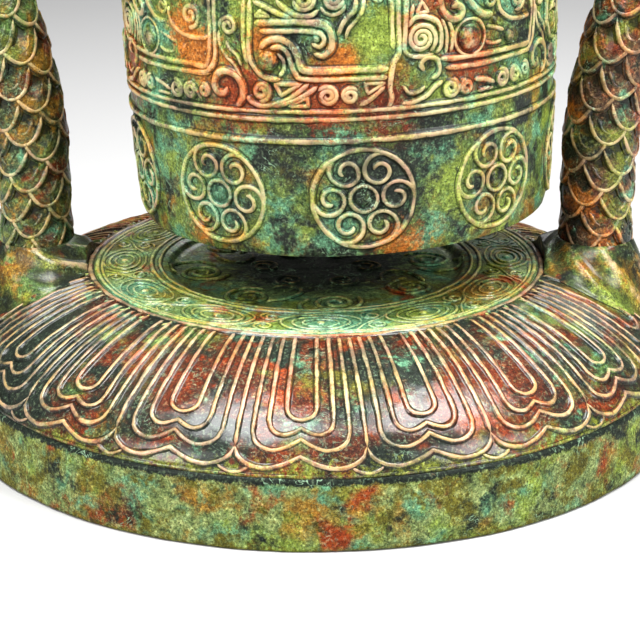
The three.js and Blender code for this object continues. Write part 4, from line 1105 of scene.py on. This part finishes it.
def bell_shell():
    piece = Piece()
    lathe(piece, bell, 400, 190, wobble=0.35, size=34)
    inner = [(r - BELL_WALL, z - BELL_WALL * (z > 170)) for r, z in BELL_OUTLINE[2:-1]]
    rim = BELL_OUTLINE[0][0]
    mouth = rim - BELL_LIP
    inside = Turned([(mouth, 0.3), (mouth, 4), *inner, (3.4, BELL_HEIGHT - BELL_WALL)], fine=2.0)
    # The inside is marked below 0, so it is painted darker as shade.
    lathe(piece, inside, 120, 60, rub=-0.25)
    lathe(piece, Turned([(mouth, 0.3), (rim - BELL_LIP / 2, 0.0), (rim, 0.0)], fine=1.0), 240, 5)
    for height, width, rise in RING_LINES:
        ring_line(piece, bell, height, width, rise)
        if height > 45:
            ring_line(piece, bell, 2 * PANEL_MIDDLE - height, width, rise)
    for height, width, rise in SHOULDER_LINES:
        ring_line(piece, bell, height, width, rise)
    for i, azimuth in enumerate(ROUNDELS):
        roundel(piece, azimuth, (-4.0, -8.0, 1.0)[i % 3])
    for i in range(QUARTERS):
        quarter(piece, i * 360 / QUARTERS)
    crown(piece)
    make(piece, "bell_casting", BELL_SKIN, "bell", "bell_shell", place=BELL_LEAN)


# Dragons

POST_LINE = [
    (108, 0, 40), (108, 0, 92), (110, 0, 120), (118.9, 0, 155), (131, 0, 188), (141.2, 0, 222), (147, 0, 256),
    (145, 0, 290), (134.1, 0, 322), (114, 0, 347.4), (91.9, 0, 362.4), (68, 0, 367.4),
]
POST_RADII = [13.8, 13.0, 13.6, 14.5, 15.4, 16, 16, 16, 15, 13.6, 12.4, 11.5]
SCALE_ROW = 9.0
SCALES_ROUND = 6
SCALE_WIDTH = 15.8
SCALE_RISE = -36.0  # how far the rows climb in one turn, a whole number of pairs of rows
POST_SIDES = 96
FOOT_COLLAR = 14.0
# The wave foot's folds: angle round it, height and width, in radians
FOOT_FOLDS = (
    (0.3, 2.2, 0.24), (1.2, 1.8, 0.22), (2.1, 2.3, 0.26), (3.0, 1.5, 0.2),
    (3.8, 2.1, 0.24), (4.65, 2.4, 0.22), (5.5, 2.1, 0.24),
)
# The hair at an elbow: how far out, which way the strands spread, how far aside, how far up and their rise
HAIR = ((20, -1, 22, -38, 2), (26, 1, 23, -44, 4), (35, 1, 19, -45, 6))
CHEEK = (6, 0, 2), (16.5, 13.3, 12.6)  # the head's largest oval: its middle and radii
# The mane's locks: height, how far aside, how far back, and how far their three strands spread
LOCKS = ((15, 8, 37, 2.6), (9, 12.6, 33, 2.4), (4, 15, 35, 2.6), (-3, 15.4, 31, 2.3), (-10, 12.6, 31, 2.4))
HORN_RADII = [4.3, 4.0, 3.4, 2.5, 0.7]
CREST_START, CREST_END, CREST_TEETH = 197.0, 12.0, 11


def scale_edge(across):
    """The free edge of a scale, over its middle, at a share of its half width."""
    return -4.2 + 9.0 * np.abs(across) ** 2.3


def scale_height(u, v, body):
    """How far the skin stands up on the scale that covers a point. Each scale laps over the two below it."""
    lift = np.full(u.shape, -0.5)
    lowest = np.floor((v - SCALE_RISE * u / 360 - 8) / SCALE_ROW)
    for shift in (-2, -1, 0, 1, 2):
        row = lowest + shift
        half = 0.5 * (row % 2)
        centre_u = (np.round(u / (360 / SCALES_ROUND) - 0.5 - half) + 0.5 + half) * 360 / SCALES_ROUND
        centre_v = 8 + row * SCALE_ROW + SCALE_RISE * centre_u / 360
        x = (u - centre_u) / body.degrees(v)
        across = np.clip(x / (SCALE_WIDTH / 2), -1, 1)
        inside = v - centre_v + 0.15 * x - scale_edge(across)
        middle = 0.7 * (1 - across**2) * np.exp(-(((inside - 2.5) / 4.5) ** 2))
        lift = np.where(inside > 0, 0.9 * np.exp(-((inside / 6.5) ** 2)) + middle - 0.6, lift)
    return lift


def dragon_body(side, flip, skin):
    body = Swept([(flip * x, y, z) for x, y, z in POST_LINE], POST_RADII, flip=flip)
    piece = Piece()
    u, v = grid(np.arange(0, body.length, 1.0), POST_SIDES)
    lift = scale_height(u, v, body)
    # Skin lying low under the scale edges is marked -0.8, painted dark as shade.
    piece.sheet(body.at(u, v, lift)[0], np.where(lift < -0.3, -0.8, 0.0))
    piece.fan(0, POST_SIDES)
    piece.fan(piece.count - POST_SIDES, POST_SIDES, -1)
    across = np.linspace(-1, 1, 13)
    for row in range(int(body.length / SCALE_ROW) + 4):
        for i in range(SCALES_ROUND):
            u = (i + 0.5 + 0.5 * (row % 2)) * 360 / SCALES_ROUND
            v = 8 + row * SCALE_ROW + SCALE_RISE * u / 360
            if not 5 < v < body.length - 9:
                continue
            x = across * SCALE_WIDTH / 2
            rim = stack(x, scale_edge(across) - 0.15 * x)
            piece.bead(body, body.flat(rim, u, v), 2.15, 1.15, taper=0.8, rub=0.85)
            inner = stack(x * 0.55, scale_edge(across) * 0.5 + 1.8 - 0.1 * x)
            piece.bead(body, body.flat(inner, u, v), 1.7, 0.75, taper=0.8, rub=0.35)
    make(piece, f"{side}_body_casting", skin, "stand", f"{side}_dragon_body")
    crest_and_legs(side, flip, skin, body)


def crest_and_legs(side, flip, skin, body):
    """The toothed crest on the back, and the two forelegs that hold the yoke."""
    clay = Clay()
    step = (body.length - CREST_END - CREST_START) / (CREST_TEETH - 1)
    for i in range(CREST_TEETH):
        v = CREST_START + i * step
        point, along = (row[0] for row in body.axis(np.array([v])))
        out = np.array([along[2], 0, -along[0]]) * flip
        grow = math.sin(min(1, i / (CREST_TEETH - 1) * 1.6 + 0.25) * math.pi / 2)
        grow *= 0.72 if i > CREST_TEETH - 3 else 1
        radius = float(body.radius(v))
        root = point + out * (radius - 3)
        tip = point + out * (radius - 4 + 13 * grow) + along * 7 * grow
        middle = point + out * (radius - 1 + 7 * grow) + along * 1.5
        clay.tube([root - along * 5, root, middle, tip], [2.4, 5.2, 3.4, 0.6], squash=0.4, up=(0, 1, 0))
        for lean in (-3.2, 3.2):
            rib = [root + along * lean, middle + along * lean * 0.7, tip - along * 2]
            clay.tube(rib, [1.5, 1.3, 0.7], around=8)

    def at(out, aside, up):
        return (flip * (BODY_X + out), aside, YOKE_Z + up)

    wrist = at(0, 15, -14)
    clay.pair("tube", [at(30, 6, -37), at(19, 21, -38), at(7, 22, -28), wrist], [8.5, 6.8, 5.3, 4.6])
    for i in range(3):
        toe = [wrist, at(-4 - 4 * i, 15.5, -5 - 3 * i), at(-6 - 5 * i, 11.2, 3 - 5 * i)]
        clay.pair("tube", toe, [3.1, 2.6, 0.6], step=0.6)
        clay.pair("oval", at(-4 - 4 * i, 15.7, -5 - 3 * i), (2.9, 2.6, 2.9), around=12)
    for i in range(4):
        hair = [at(out + way * 2 * i, aside, up + rise * i) for out, way, aside, up, rise in HAIR]
        clay.pair("tube", hair, [2.4, 1.9, 0.5], around=8)
    for i in range(5):
        band = [at(16 - 3.4 * i, 26.6 - 0.5 * i, -38 + 4.2 * i), at(12 - 3.4 * i, 27, -33 + 4 * i)]
        clay.pair("tube", band, [1.2, 1.2], around=8)
    make(clay.fuse(0.65), f"{side}_crest_and_legs", skin, "stand")


def wave_foot(side, flip):
    """A soft flared collar between the dragon and the dome, with slanting folds."""
    angle = angles(220)
    share = np.linspace(0, 1, 46)[:, None]
    reach = 28.6 + (1.6 * np.sin(3 * angle + 0.6) + 0.9 * np.sin(5 * angle + 2.0 * flip))
    radius = FOOT_COLLAR + (reach - FOOT_COLLAR) * share**0.85
    x = BODY_X + radius * np.cos(angle)
    y = radius * np.sin(angle)
    from_centre = np.hypot(x, y)
    too_far = np.minimum(1, (DOME_FOOT + 0.6) / from_centre)
    too_near = np.maximum(1, (ALTAR_EDGE + 2.6) / from_centre)
    x, y = x * too_far * too_near, y * too_far * too_near
    under = dome_z(np.hypot(x, y))
    top = dome_z(BODY_X) + 15.0
    z = under + 0.4 + (top - under) * (1 - share) ** 2.0 + 1.5 * np.sin(share * math.pi) ** 0.7
    spin = angle[None, :] - 1.1 * share * flip
    folds = np.zeros_like(z)
    for at, strong, wide in FOOT_FOLDS:
        gap = np.angle(np.exp(1j * (spin - at)))
        folds += strong * np.exp(-((gap / wide) ** 2))
    z = z + folds * np.sin(np.clip(share * 1.1, 0, 1) * math.pi) ** 0.8
    points = stack(flip * x, y, z)
    points[..., 2] += lumps(points, 9.0, 2.0 * flip).reshape(z.shape) * 0.6 * np.sin(share * math.pi)
    # Fold tops are rubbed bright as wear; the hollows between folds are marked below 0, painted dark as shade.
    worn = np.clip(folds / 1.6 - 0.85, -0.5, 0.75)
    # The skirt sinking into the dome is marked -0.8, painted dark as shade.
    skirt = np.stack([points[-1], points[-1] - np.array([0, 0, 3.0])])
    piece = Piece()
    piece.sheet(points[:, ::flip], worn[:, ::flip])
    piece.sheet(skirt[:, ::flip], -0.8)
    make(piece, f"{side}_foot_casting", FOOT_SKIN, "stand", f"{side}_wave_foot", slot="rust_bronze")


def oval_side(x, z, centre, radii):
    """How far aside an oval's skin lies at (x, z)."""
    part = 1 - ((x - centre[0]) / radii[0]) ** 2 - ((z - centre[2]) / radii[2]) ** 2
    return radii[1] * math.sqrt(max(part, 0.0))


def on_neck(flip, points):
    """Turns the head's own axes, snout along +X, to its place on the stand."""
    return stack(flip * (NECK_X - points[:, 0]), points[:, 1], NECK_Z + points[:, 2])


def skull(side, flip, skin):
    clay = Clay()
    clay.oval(*CHEEK)
    clay.oval((20, 0, 4), (15.5, 11.2, 9.6))
    clay.oval((37, 0, 7.6), (16, 8.6, 6.4), 0.1)
    clay.oval((48.5, 0, 11.5), (5.6, 6.4, 4.4))
    clay.pair("oval", (50, 4.8, 13.6), (4.9, 3.5, 4.1))
    nostril = [
        (54.4, 3.6, 11), (55, 6.2, 13), (53.5, 8.2, 15.2), (50.6, 8.2, 17), (48, 6.4, 17.2), (47.4, 4.6, 15.8),
    ]
    clay.pair("tube", nostril, [1.4, 1.5, 1.5, 1.4, 1.2, 0.9], step=0.6)
    for i in range(5):
        x = 29 + 3.6 * i
        z = 15.2 - 0.9 * abs(i - 1) * 0.4
        wrinkle = [(x - 2.5, -7.6, 9), (x, -4, z - 1), (x + 1, 0, z), (x, 4, z - 1), (x - 2.5, 7.6, 9)]
        clay.tube(wrinkle, [0.8, 1.3, 1.5, 1.3, 0.8], step=0.7, around=8)
    lip = [
        (10, 11.6, -4), (18, 11.4, -3.2), (28, 9.6, -0.4), (38, 8.3, 1.4), (46, 7.2, 3.6), (52, 4.6, 6.6),
        (54.5, 1.5, 9),
    ]
    clay.pair("tube", lip, [1.6, 1.9, 1.7, 1.6, 1.6, 1.5, 1.2], step=0.7)
    brow = [(27.5, 5.6, 12.6), (22, 8.6, 15.6), (15, 10.6, 16.2), (8, 12, 17.6), (3, 12.6, 18.6)]
    clay.pair("tube", brow, [2.2, 3.6, 3.4, 2.2, 0.6])
    brow = [(24, 9.4, 14), (17, 13, 14.5), (10, 15.6, 16), (4, 17.2, 15)]
    clay.pair("tube", brow, [2.0, 2.0, 1.6, 0.5], around=10)
    brow = [(22, 10.8, 11.5), (15, 14.2, 11), (9, 16.6, 12.5), (3, 17.4, 10.6)]
    clay.pair("tube", brow, [1.6, 1.8, 1.4, 0.5], around=10)
    clay.pair("oval", (21.4, 9.8, 8.8), (3.6, 3.3, 3.3), around=16)
    a = np.linspace(0, 2 * math.pi, 14)
    lid = stack(21.4 + 4.6 * np.cos(a), 10.6 - 0.4 * np.cos(a), 8.8 + 3.9 * np.sin(a))
    clay.pair("tube", lid, [1.1] * 3, step=0.6, around=8)
    for cx, cz, size, way in ((8, -2.5, 5.2, 1), (-1.5, 4, 3.8, -1), (14.5, 1.5, 3.0, 1)):
        curl = spiral(cx, cz, size, 1.0, 1.3, 200, way, 1.2)
        path = [(x, oval_side(x, z, *CHEEK) + 0.4, z) for x, z in curl]
        clay.pair("tube", path, [1.3, 1.3, 1.1], step=0.8, around=8)
    clay.pair("tube", [(4, 11, 6), (-6, 17.6, 9), (-16, 20.4, 8.4)], [4.4, 4.2, 0.8], squash=0.5)
    clay.pair("tube", [(2, 11.6, 8.6), (-6, 18.4, 11), (-14, 20.2, 9.2)], [1.3, 1.2, 0.5], around=8)
    for i in range(7):
        x = 24 + 4.1 * i
        y = float(np.interp(x, [10, 28, 38, 46, 52], [11, 9, 7.6, 6.4, 4.4]))
        z = float(np.interp(x, [18, 28, 38, 46, 52], [-3.6, -1.2, 0.6, 2.6, 5.6]))
        long = 6.2 if i == 5 else 3.4
        tooth = [(x, y, z + 1), (x + 0.3, y + 0.2, z - long * 0.5), (x - 0.5, y, z - long)]
        clay.pair("tube", tooth, [1.5, 1.2, 0.35], step=0.6, around=8)
    whisker = [(47, 7.6, 8), (50, 12, 9.4), (46.5, 16.6, 12), (39, 18, 11), (34, 19.6, 13.4)]
    clay.pair("tube", whisker, [1.7, 1.5, 1.3, 1.1, 0.4], step=0.8, around=8)
    clay.oval((12, 0, 13.4), (7, 3, 3.2), -0.2)
    clay.oval((27, 0, 13.6), (6, 2.4, 2.6), 0.1)
    piece = clay.fuse(0.55, place=partial(on_neck, flip))
    make(piece, f"{side}_skull_casting", skin, "stand", f"{side}_dragon_skull")


def jaw(side, flip, skin):
    clay = Clay()
    clay.tube([(6, 0, -8), (20, 0, -12), (36, 0, -16), (49, 0, -13.5)], [9, 8.4, 7.4, 4.4], squash=0.62)
    lip = [(12, 8, -7.6), (22, 7.4, -10), (34, 6.6, -12.6), (44, 5.4, -11.8), (50.6, 2.4, -10)]
    clay.pair("tube", lip, [1.4, 1.6, 1.6, 1.5, 1.1], step=0.7)
    for i in range(6):
        x = 25 + 4.2 * i
        y = float(np.interp(x, [22, 34, 44, 50], [7, 6.2, 5, 2.6]))
        z = float(np.interp(x, [22, 34, 44, 50], [-10, -12.2, -11.6, -10]))
        long = 5.4 if i == 4 else 3.0
        clay.pair("tube", [(x, y, z), (x - 0.6, y, z + long)], [1.4, 0.4], step=0.6, around=8)
    clay.tube([(12, 0, -6), (26, 0, -8), (38, 0, -10), (44, 0, -7.4)], [3.6, 3.8, 3.2, 1.6], squash=0.5)
    for k, (spread, fall) in enumerate(((5, 0), (7, 3), (3.4, 4))):
        beard = [
            (38 - 5 * k, spread * 0.9, -17.5), (34 - 5 * k, spread * 1.7, -22 - fall * 0.4),
            (25 - 5 * k, spread * 1.75, -27.4), (17 - 4 * k, spread * 1.7, -25 + k),
        ]
        clay.pair("tube", beard, [2.6, 2.6, 2.0, 0.6], around=10)
    beard = [(42, 3.4, -17.2), (36, 6, -20.6), (29, 6.6, -24.4), (22, 5.4, -25.4), (17, 6, -22)]
    clay.pair("tube", beard, [2.0, 2.0, 1.7, 1.2, 0.5], around=10)
    clay.tube([(46, 0, -17), (42, 0, -21.4), (35, 0, -24), (29, 0, -23)], [2.0, 1.9, 1.4, 0.5], around=10)
    piece = clay.fuse(0.6, place=partial(on_neck, flip))
    make(piece, f"{side}_jaw_casting", skin, "stand", f"{side}_dragon_jaw")


def mane(side, flip):
    clay = Clay()
    clay.oval((-3, 0, 1), (8.6, 14.2, 13.6))
    for height, spread, reach, fan in LOCKS:
        for strand in (-1, 0, 1):
            lift = strand * fan
            path = [
                (3, spread * 0.5, height * 0.6 + lift * 0.4),
                (-8, spread * 0.86, height + lift * 0.8),
                (-20, spread + 0.4 * strand, height * 0.88 + lift),
                (-reach + 3 * abs(strand), spread * 1.08, height * 1.12 + lift * 0.8),
            ]
            clay.pair("tube", path, [2.8, 2.9, 2.3, 0.6], around=10)
    for strand in (-1, 0, 1):
        middle = [(2, 2.4, 13), (-10, 3, 17), (-24, 2.6, 15.6), (-33, 2.2, 18)]
        path = [(x, strand * y, z) for x, y, z in middle]
        clay.tube(path, [2.6, 2.6, 2, 0.6], around=10)
    piece = clay.fuse(0.6, place=partial(on_neck, flip))
    make(piece, f"{side}_mane_casting", FOOT_SKIN, "stand", f"{side}_mane", slot="rust_bronze")


def horn(side, flip, skin, which, way):
    clay = Clay()
    path = np.array([(12, 6.5, 13), (2, 10, 24), (-12, 13, 31), (-28, 14, 32), (-41, 16, 39)]) * (1, way, 1)
    clay.tube(path, HORN_RADII, step=0.7, around=14)
    curve = smooth_path(path, 1.0)
    share = np.linspace(0, 1, len(curve))
    for at in np.linspace(0.06, 0.62, 9):
        i = int(at * (len(curve) - 1))
        radius = float(np.interp(share[i], np.linspace(0, 1, 5), HORN_RADII)) + 0.45
        clay.tube(curve[i - 1 : i + 2], [radius - 0.5, radius, radius - 0.5], step=0.5, around=14)
    prong = np.array([(-12, 13, 31), (-17, 12.4, 35), (-24, 11, 37.6)]) * (1, way, 1)
    clay.tube(prong, [2.8, 1.8, 0.5], step=0.6, around=10)
    piece = clay.fuse(0.5, place=partial(on_neck, flip))
    make(piece, f"{side}_{which}_horn_casting", skin, "stand", f"{side}_{which}_horn")


# Yoke and hanger

YOKE_LOBES = 8
YOKE_HEIGHT, YOKE_LOBE, YOKE_ARCH, YOKE_HALF = 15.0, 3.0, 7.0, 7.5
YOKE_DRAWN = 124.0  # half length that the lobes are spaced over
YOKE_STEPS, YOKE_SIDES = 420, 44


def yoke_half(x):
    cloud = np.abs(np.cos(x / YOKE_DRAWN * YOKE_LOBES * math.pi / 2))
    return YOKE_HEIGHT / 2 - YOKE_LOBE * (1 - cloud)


def yoke_middle(x):
    return YOKE_Z - YOKE_ARCH * (x / YOKE_DRAWN) ** 2


def cloud_yoke():
    piece = Piece()
    x = np.linspace(-YOKE_REACH, YOKE_REACH, YOKE_STEPS)[:, None]
    a = angles(YOKE_SIDES)
    soft = 0.32
    y = YOKE_HALF * np.sign(np.cos(a)) * np.abs(np.cos(a)) ** soft
    z = yoke_middle(x) + yoke_half(x) * np.sign(np.sin(a)) * np.abs(np.sin(a)) ** soft
    piece.sheet(stack(x, y, z))
    piece.fan(0, YOKE_SIDES)
    piece.fan(piece.count - YOKE_SIDES, YOKE_SIDES, -1)
    lobe = 2 * YOKE_DRAWN / YOKE_LOBES
    for way in (-1, 1):
        face = Level(way * (YOKE_HALF - 0.1), way)
        for edge in (-1, 1):
            run = np.linspace(-YOKE_REACH + 8, YOKE_REACH - 8, 300)
            path = stack(run, yoke_middle(run) + edge * (yoke_half(run) - 1.6))
            piece.bead(face, path[::way], 1.4, 0.8)
        for i in range(-3, 4):
            centre = i * lobe
            mid = yoke_middle(centre)
            for turn in (-1, 1):
                curl = spiral(0, 0, 3.9, 0.7, 1.6, 90, turn)
                start = [(-turn * 11, -3.2), (-turn * 6.4, -3.6)]
                path = np.vstack([start, curl[::4] + (-turn * 4.2, 0.2)])
                piece.bead(face, smooth_path(path, 0.7) + (centre, mid), 1.5, 1.0)
            piece.bead(face, circle(centre, mid - 0.2, 1.6, 0.6), 1.2, 0.8, closed=True)
            low_line = smooth_path([(-13.5, 2.6), (-8, 4.2), (0, 5.4), (8, 4.2), (13.5, 2.6)], 0.8)
            piece.bead(face, low_line * (1, -1) + (centre, mid), 1.2, 0.7)
    make(piece, "yoke_casting", DRAGON_SKIN, "stand", "cloud_yoke")


def torus_piece(centre, radius, wire, to_x, around=96, sides=28):
    """A ring of wire in the plane of Y and Z when to_x, otherwise in that of X and Z."""
    a, b = angles(around)[:, None], angles(sides)
    out = radius + wire * np.cos(b)
    flat_a, flat_b, thick = out * np.cos(a), out * np.sin(a), wire * np.sin(b)
    order = (thick, flat_a, flat_b) if to_x else (flat_a, -thick, flat_b)
    return stack(*order) + np.array(centre)


def rod(piece, outline, columns=40):
    """A turned part on the Z axis, from (radius, height) points that are joined by straight lines."""
    fine = [np.linspace(outline[i], outline[i + 1], 4)[:-1] for i in range(len(outline) - 1)]
    curve = np.vstack([*fine, outline[-1:]])
    a = angles(columns)
    piece.sheet(stack(curve[:, :1] * np.sin(a), -curve[:, :1] * np.cos(a), curve[:, 1:]))


HOOK_RADIUS, HOOK_WIRE = 6.0, 2.4
RING_RADIUS, RING_WIRE = 12.0, 2.2


def hanger():
    eye_z = low("hanger_eye")[2] + HOOK_RADIUS + HOOK_WIRE
    top = high("hanger_eye")[2]
    piece = Piece()
    piece.sheet(torus_piece((HANG[0], 0, eye_z), HOOK_RADIUS, HOOK_WIRE, False), 0.25, closed=True)
    shank = [
        (0.02, eye_z + 4.4), (2.4, eye_z + 4.6), (3.2, eye_z + 7.4), (2.4, eye_z + 8.6), (2.4, top - 0.5),
        (1.8, top), (0.02, top),
    ]
    rod(piece, shank)
    make(piece, "eye_casting", IRON_SKIN, "stand", "hanger_eye", slot="iron")
    ring = Piece()
    centre = HANG - np.array([0, 0, RING_RADIUS])
    lean = Matrix.Translation(HANG) @ TILT @ Matrix.Translation(-HANG)
    ring.sheet(torus_piece(centre, RING_RADIUS, RING_WIRE, True), 0.25, closed=True)
    make(ring, "ring_casting", IRON_SKIN, "ring", "suspension_ring", place=lean, slot="iron")


def pearl():
    bottom, radius, rim_z = low("pearl_seat")[2], *high("pearl_seat")[[0, 2]]
    waist, shoulder = (5.8, bottom + 2.8), (8.4, rim_z - 1.4)
    foot = [(2.7, bottom), (7.0, bottom), (7.4, bottom + 0.6)]
    cup = Piece()
    rod(cup, [*foot, waist, shoulder, (radius - 0.4, rim_z), (6.5, rim_z - 1.0)], columns=72)
    face = Turned([waist, shoulder, (radius - 0.3, rim_z)], fine=0.4)
    edge = np.linspace(-1, 1, 15)
    for i in range(10):
        rise = 0.4 + (face.length - 0.8) * (1 - np.abs(edge) ** 2.2)
        cup.bead(face, stack(36 * i + 15 * edge, rise), 1.0, 0.6)
    make(cup, "pearl_seat_casting", DOME_SKIN, "stand", "pearl_seat", slot="rust_bronze")
    ball = Ball((0, 0, PEARL_Z), PEARL_RADIUS - 0.7)
    piece = Piece()
    piece.sheet(ball.at(*grid(np.linspace(-89.5, 89.5, 90), 140))[0])
    for i in range(4):
        swirl = spiral(0, 0, 34, 4, 1.7, 60 * i, 1, 4)
        piece.bead(ball, smooth_path(swirl + (90 * i, 0), 3.0), 1.6, 0.8)
        for tail in ([(34, 10), (48, 34), (30, 58), (5, 66)], [(34, -14), (52, -34), (34, -58), (5, -66)]):
            piece.bead(ball, smooth_path([(90 * i + u, v) for u, v in tail], 3.0), 1.5, 0.7)
    make(piece, "pearl_casting", DOME_SKIN, "stand", "pearl", slot="rust_bronze")


def flame():
    low_z = PEARL_Z + PEARL_RADIUS - 1.6
    tall = high("flame_finial")[2] - low_z - 0.4
    clay = Clay()
    for lean, share, aside in ((0, 1, 0), (-1, 0.62, 0), (1, 0.62, 0), (0.3, 0.56, 1), (-0.3, 0.56, -1)):
        for strand in (-1, 0, 1):
            twist = 1.7 * strand * share
            path = [
                (lean * 2 + twist, aside * 2, low_z),
                (lean * 4.4 + twist * 1.2, aside * 4.0 + twist * 0.3, low_z + tall * 0.33 * share),
                (lean * 4.6 + twist * 0.8 + 1.2 * share, aside * 4.2, low_z + tall * 0.66 * share),
                (lean * 7.0 + 0.8 * strand, aside * 5.6, low_z + tall * share * (1 - 0.14 * abs(strand))),
            ]
            clay.tube(path, [4.6 * share, 4.4 * share, 2.6 * share, 0.35], step=0.7, around=12)
    make(clay.fuse(0.5), "flame_casting", DOME_SKIN, "stand", "flame_finial", slot="rust_bronze")


LOOP_SPAN, LOOP_BAR = 25.0, 4.2
LOOP_RADII = [5.2, 5.1, 4.7, 4.0, 4.7, 5.1, 5.2]
# Brow, ear and lip of a head at the loop's foot, as (out, aside, up) points, and their radii
LOOP_BROWS = (
    ([(6, 3.6, 7), (2, 5.4, 9.8), (-4, 6.4, 10.6)], [1.2, 1.8, 0.5]),
    ([(-1, 3.4, 9.6), (-6.5, 5, 13), (-11, 5.4, 12.4)], [1.8, 1.4, 0.4]),
    ([(10, 4.4, 1.2), (4, 6.6, 1.6), (-2, 7.2, 3.4)], [1.1, 1.2, 0.8]),
)


def pulao():
    """The bell's own loop: a two-headed dragon arched over the crown, drawn on the bell's axes."""
    low_z = BELL_HEIGHT - 2
    bar_z = BELL_DROP - 2 * RING_RADIUS + RING_WIRE - LOOP_BAR - 0.3 - 0.5
    leg = [(LOOP_SPAN * 0.62, bar_z - 3), (LOOP_SPAN, (low_z + bar_z) / 2), (LOOP_SPAN, low_z)]
    line = [(-x, 0, z) for x, z in leg[::-1]] + [(0, 0, bar_z)] + [(x, 0, z) for x, z in leg]
    arch = Swept(line, LOOP_RADII)
    piece = Piece()
    piece.sheet(arch.at(*grid(np.arange(0, arch.length, 0.9), 40), -0.2)[0])
    middle = arch.length / 2
    for row in range(int((arch.length - 12) / 3.2)):
        centre = 6 + row * 3.2
        if abs(centre - middle) < 6:
            continue
        way = 1 if centre > middle else -1
        for i in range(6):
            a = np.linspace(-1, 1, 9)
            drawing = stack(a * 2.4, way * (-1.4 + 3.0 * np.abs(a) ** 2.2))
            piece.bead(arch, arch.flat(drawing, (i + 0.5 * (row % 2)) * 60, centre), 0.8, 0.4)
    clay = Clay()
    for way in (-1, 1):
        def at(out, aside, up):
            return (way * (LOOP_SPAN + 2 + out), aside, BELL_HEIGHT + up)

        clay.oval(at(0, 0, 4.4), (8.0, 7.0, 6.6))
        clay.oval(at(6.4, 0, 2.8), (5.6, 5.4, 4.0))
        for side in (-1, 1):
            clay.oval(at(10, side * 2.4, 5.0), (1.9, 1.6, 1.6), around=12)
            clay.oval(at(2.4, side * 5.4, 7.6), (2.2, 2.0, 2.0), around=12)
            for path, radii in LOOP_BROWS:
                clay.tube([at(out, side * aside, up) for out, aside, up in path], radii, step=0.7)
            for i in range(3):
                lock = [(-3, 6.4 - i, 2 + 3 * i), (-8, 6.8 - i, 3 + 3.4 * i), (-12.5, 6 - i, 2.4 + 4 * i)]
                clay.tube([at(out, side * aside, up) for out, aside, up in lock], [1.7, 1.5, 0.4], step=0.7)
    heads = clay.fuse(0.45, soften=1)
    piece.add(heads.points[0], heads.faces, heads.rub[0])
    make(piece, "loop_casting", BELL_SKIN, "bell", "pulao_loop", place=BELL_LEAN)


lotus_dome()
plinth()
altar()
bell_shell()
for side, flip, skin in (("left", -1, DRAGON_SKIN), ("right", 1, RUST_DRAGON_SKIN)):
    dragon_body(side, flip, skin)
    wave_foot(side, flip)
    skull(side, flip, skin)
    jaw(side, flip, skin)
    mane(side, flip)
    horn(side, flip, skin, "front", -1)
    horn(side, flip, skin, "back", 1)
cloud_yoke()
hanger()
pearl()
flame()
pulao()

skins = {"green_bronze": DRAGON_SKIN, "rust_bronze": DOME_SKIN, "iron": IRON_SKIN}
for subpart in frame["record"]["subparts"]:
    obj = frame["nodes"][subpart["node"]]
    obj.data.materials.clear()
    obj.data.materials.append(skins[subpart["material_slot"]])


# Stage

def area_light(name, place, target, size, power):
    data = bpy.data.lights.new(name, "AREA")
    data.shape = "RECTANGLE"
    data.size, data.size_y = size
    data.energy = power
    obj = show(name, data)
    obj.location = place
    obj.rotation_euler = (Vector(target) - Vector(place)).to_track_quat("-Z", "Y").to_euler()


def floor():
    data = bpy.data.meshes.new("floor")
    size = 6.0
    corners = [(-size, -size, 0), (size, -size, 0), (size, size, 0), (-size, size, 0)]
    data.from_pydata(corners, [], [(0, 1, 2, 3)])
    material = bpy.data.materials.new("floor")
    material.use_nodes = True
    shader = material.node_tree.nodes["Principled BSDF"]
    shader.inputs["Base Color"].default_value = (0.42, 0.42, 0.42, 1)
    shader.inputs["Roughness"].default_value = 0.7
    show("floor", data, material)


floor()
world = bpy.data.worlds.new("world")
bpy.context.scene.world = world
world.use_nodes = True
world.node_tree.nodes["Background"].inputs[0].default_value = (1.0, 0.98, 0.95, 1)
world.node_tree.nodes["Background"].inputs[1].default_value = 0.07
area_light("left_high_box", (-0.24, -0.26, 1.0), (0, -0.05, 0.05), (0.5, 0.45), 14)
area_light("right_high_box", (0.4, -0.12, 0.95), (0, -0.05, 0.05), (0.4, 0.4), 11)
area_light("left_box", (-0.8, -0.75, 0.6), (0, 0, 0.12), (0.45, 0.6), 10)
area_light("right_box", (0.85, -0.65, 0.6), (0, 0, 0.12), (0.45, 0.6), 11)
area_light("back_box", (0.2, 1.1, 0.9), (0, 0, 0.3), (0.8, 0.5), 5)
bpy.context.scene.view_settings.view_transform = "Standard"
bpy.context.scene.view_settings.look = "Medium High Contrast"

camera_data = bpy.data.cameras.new("camera")
camera_data.lens = 112.5
camera_data.sensor_width = 36
camera = show("camera", camera_data)
camera.location = (0.0021, -0.7392, 0.2967)
camera.rotation_euler = (math.radians(70.31), math.radians(0.13), 0)
bpy.context.scene.camera = camera
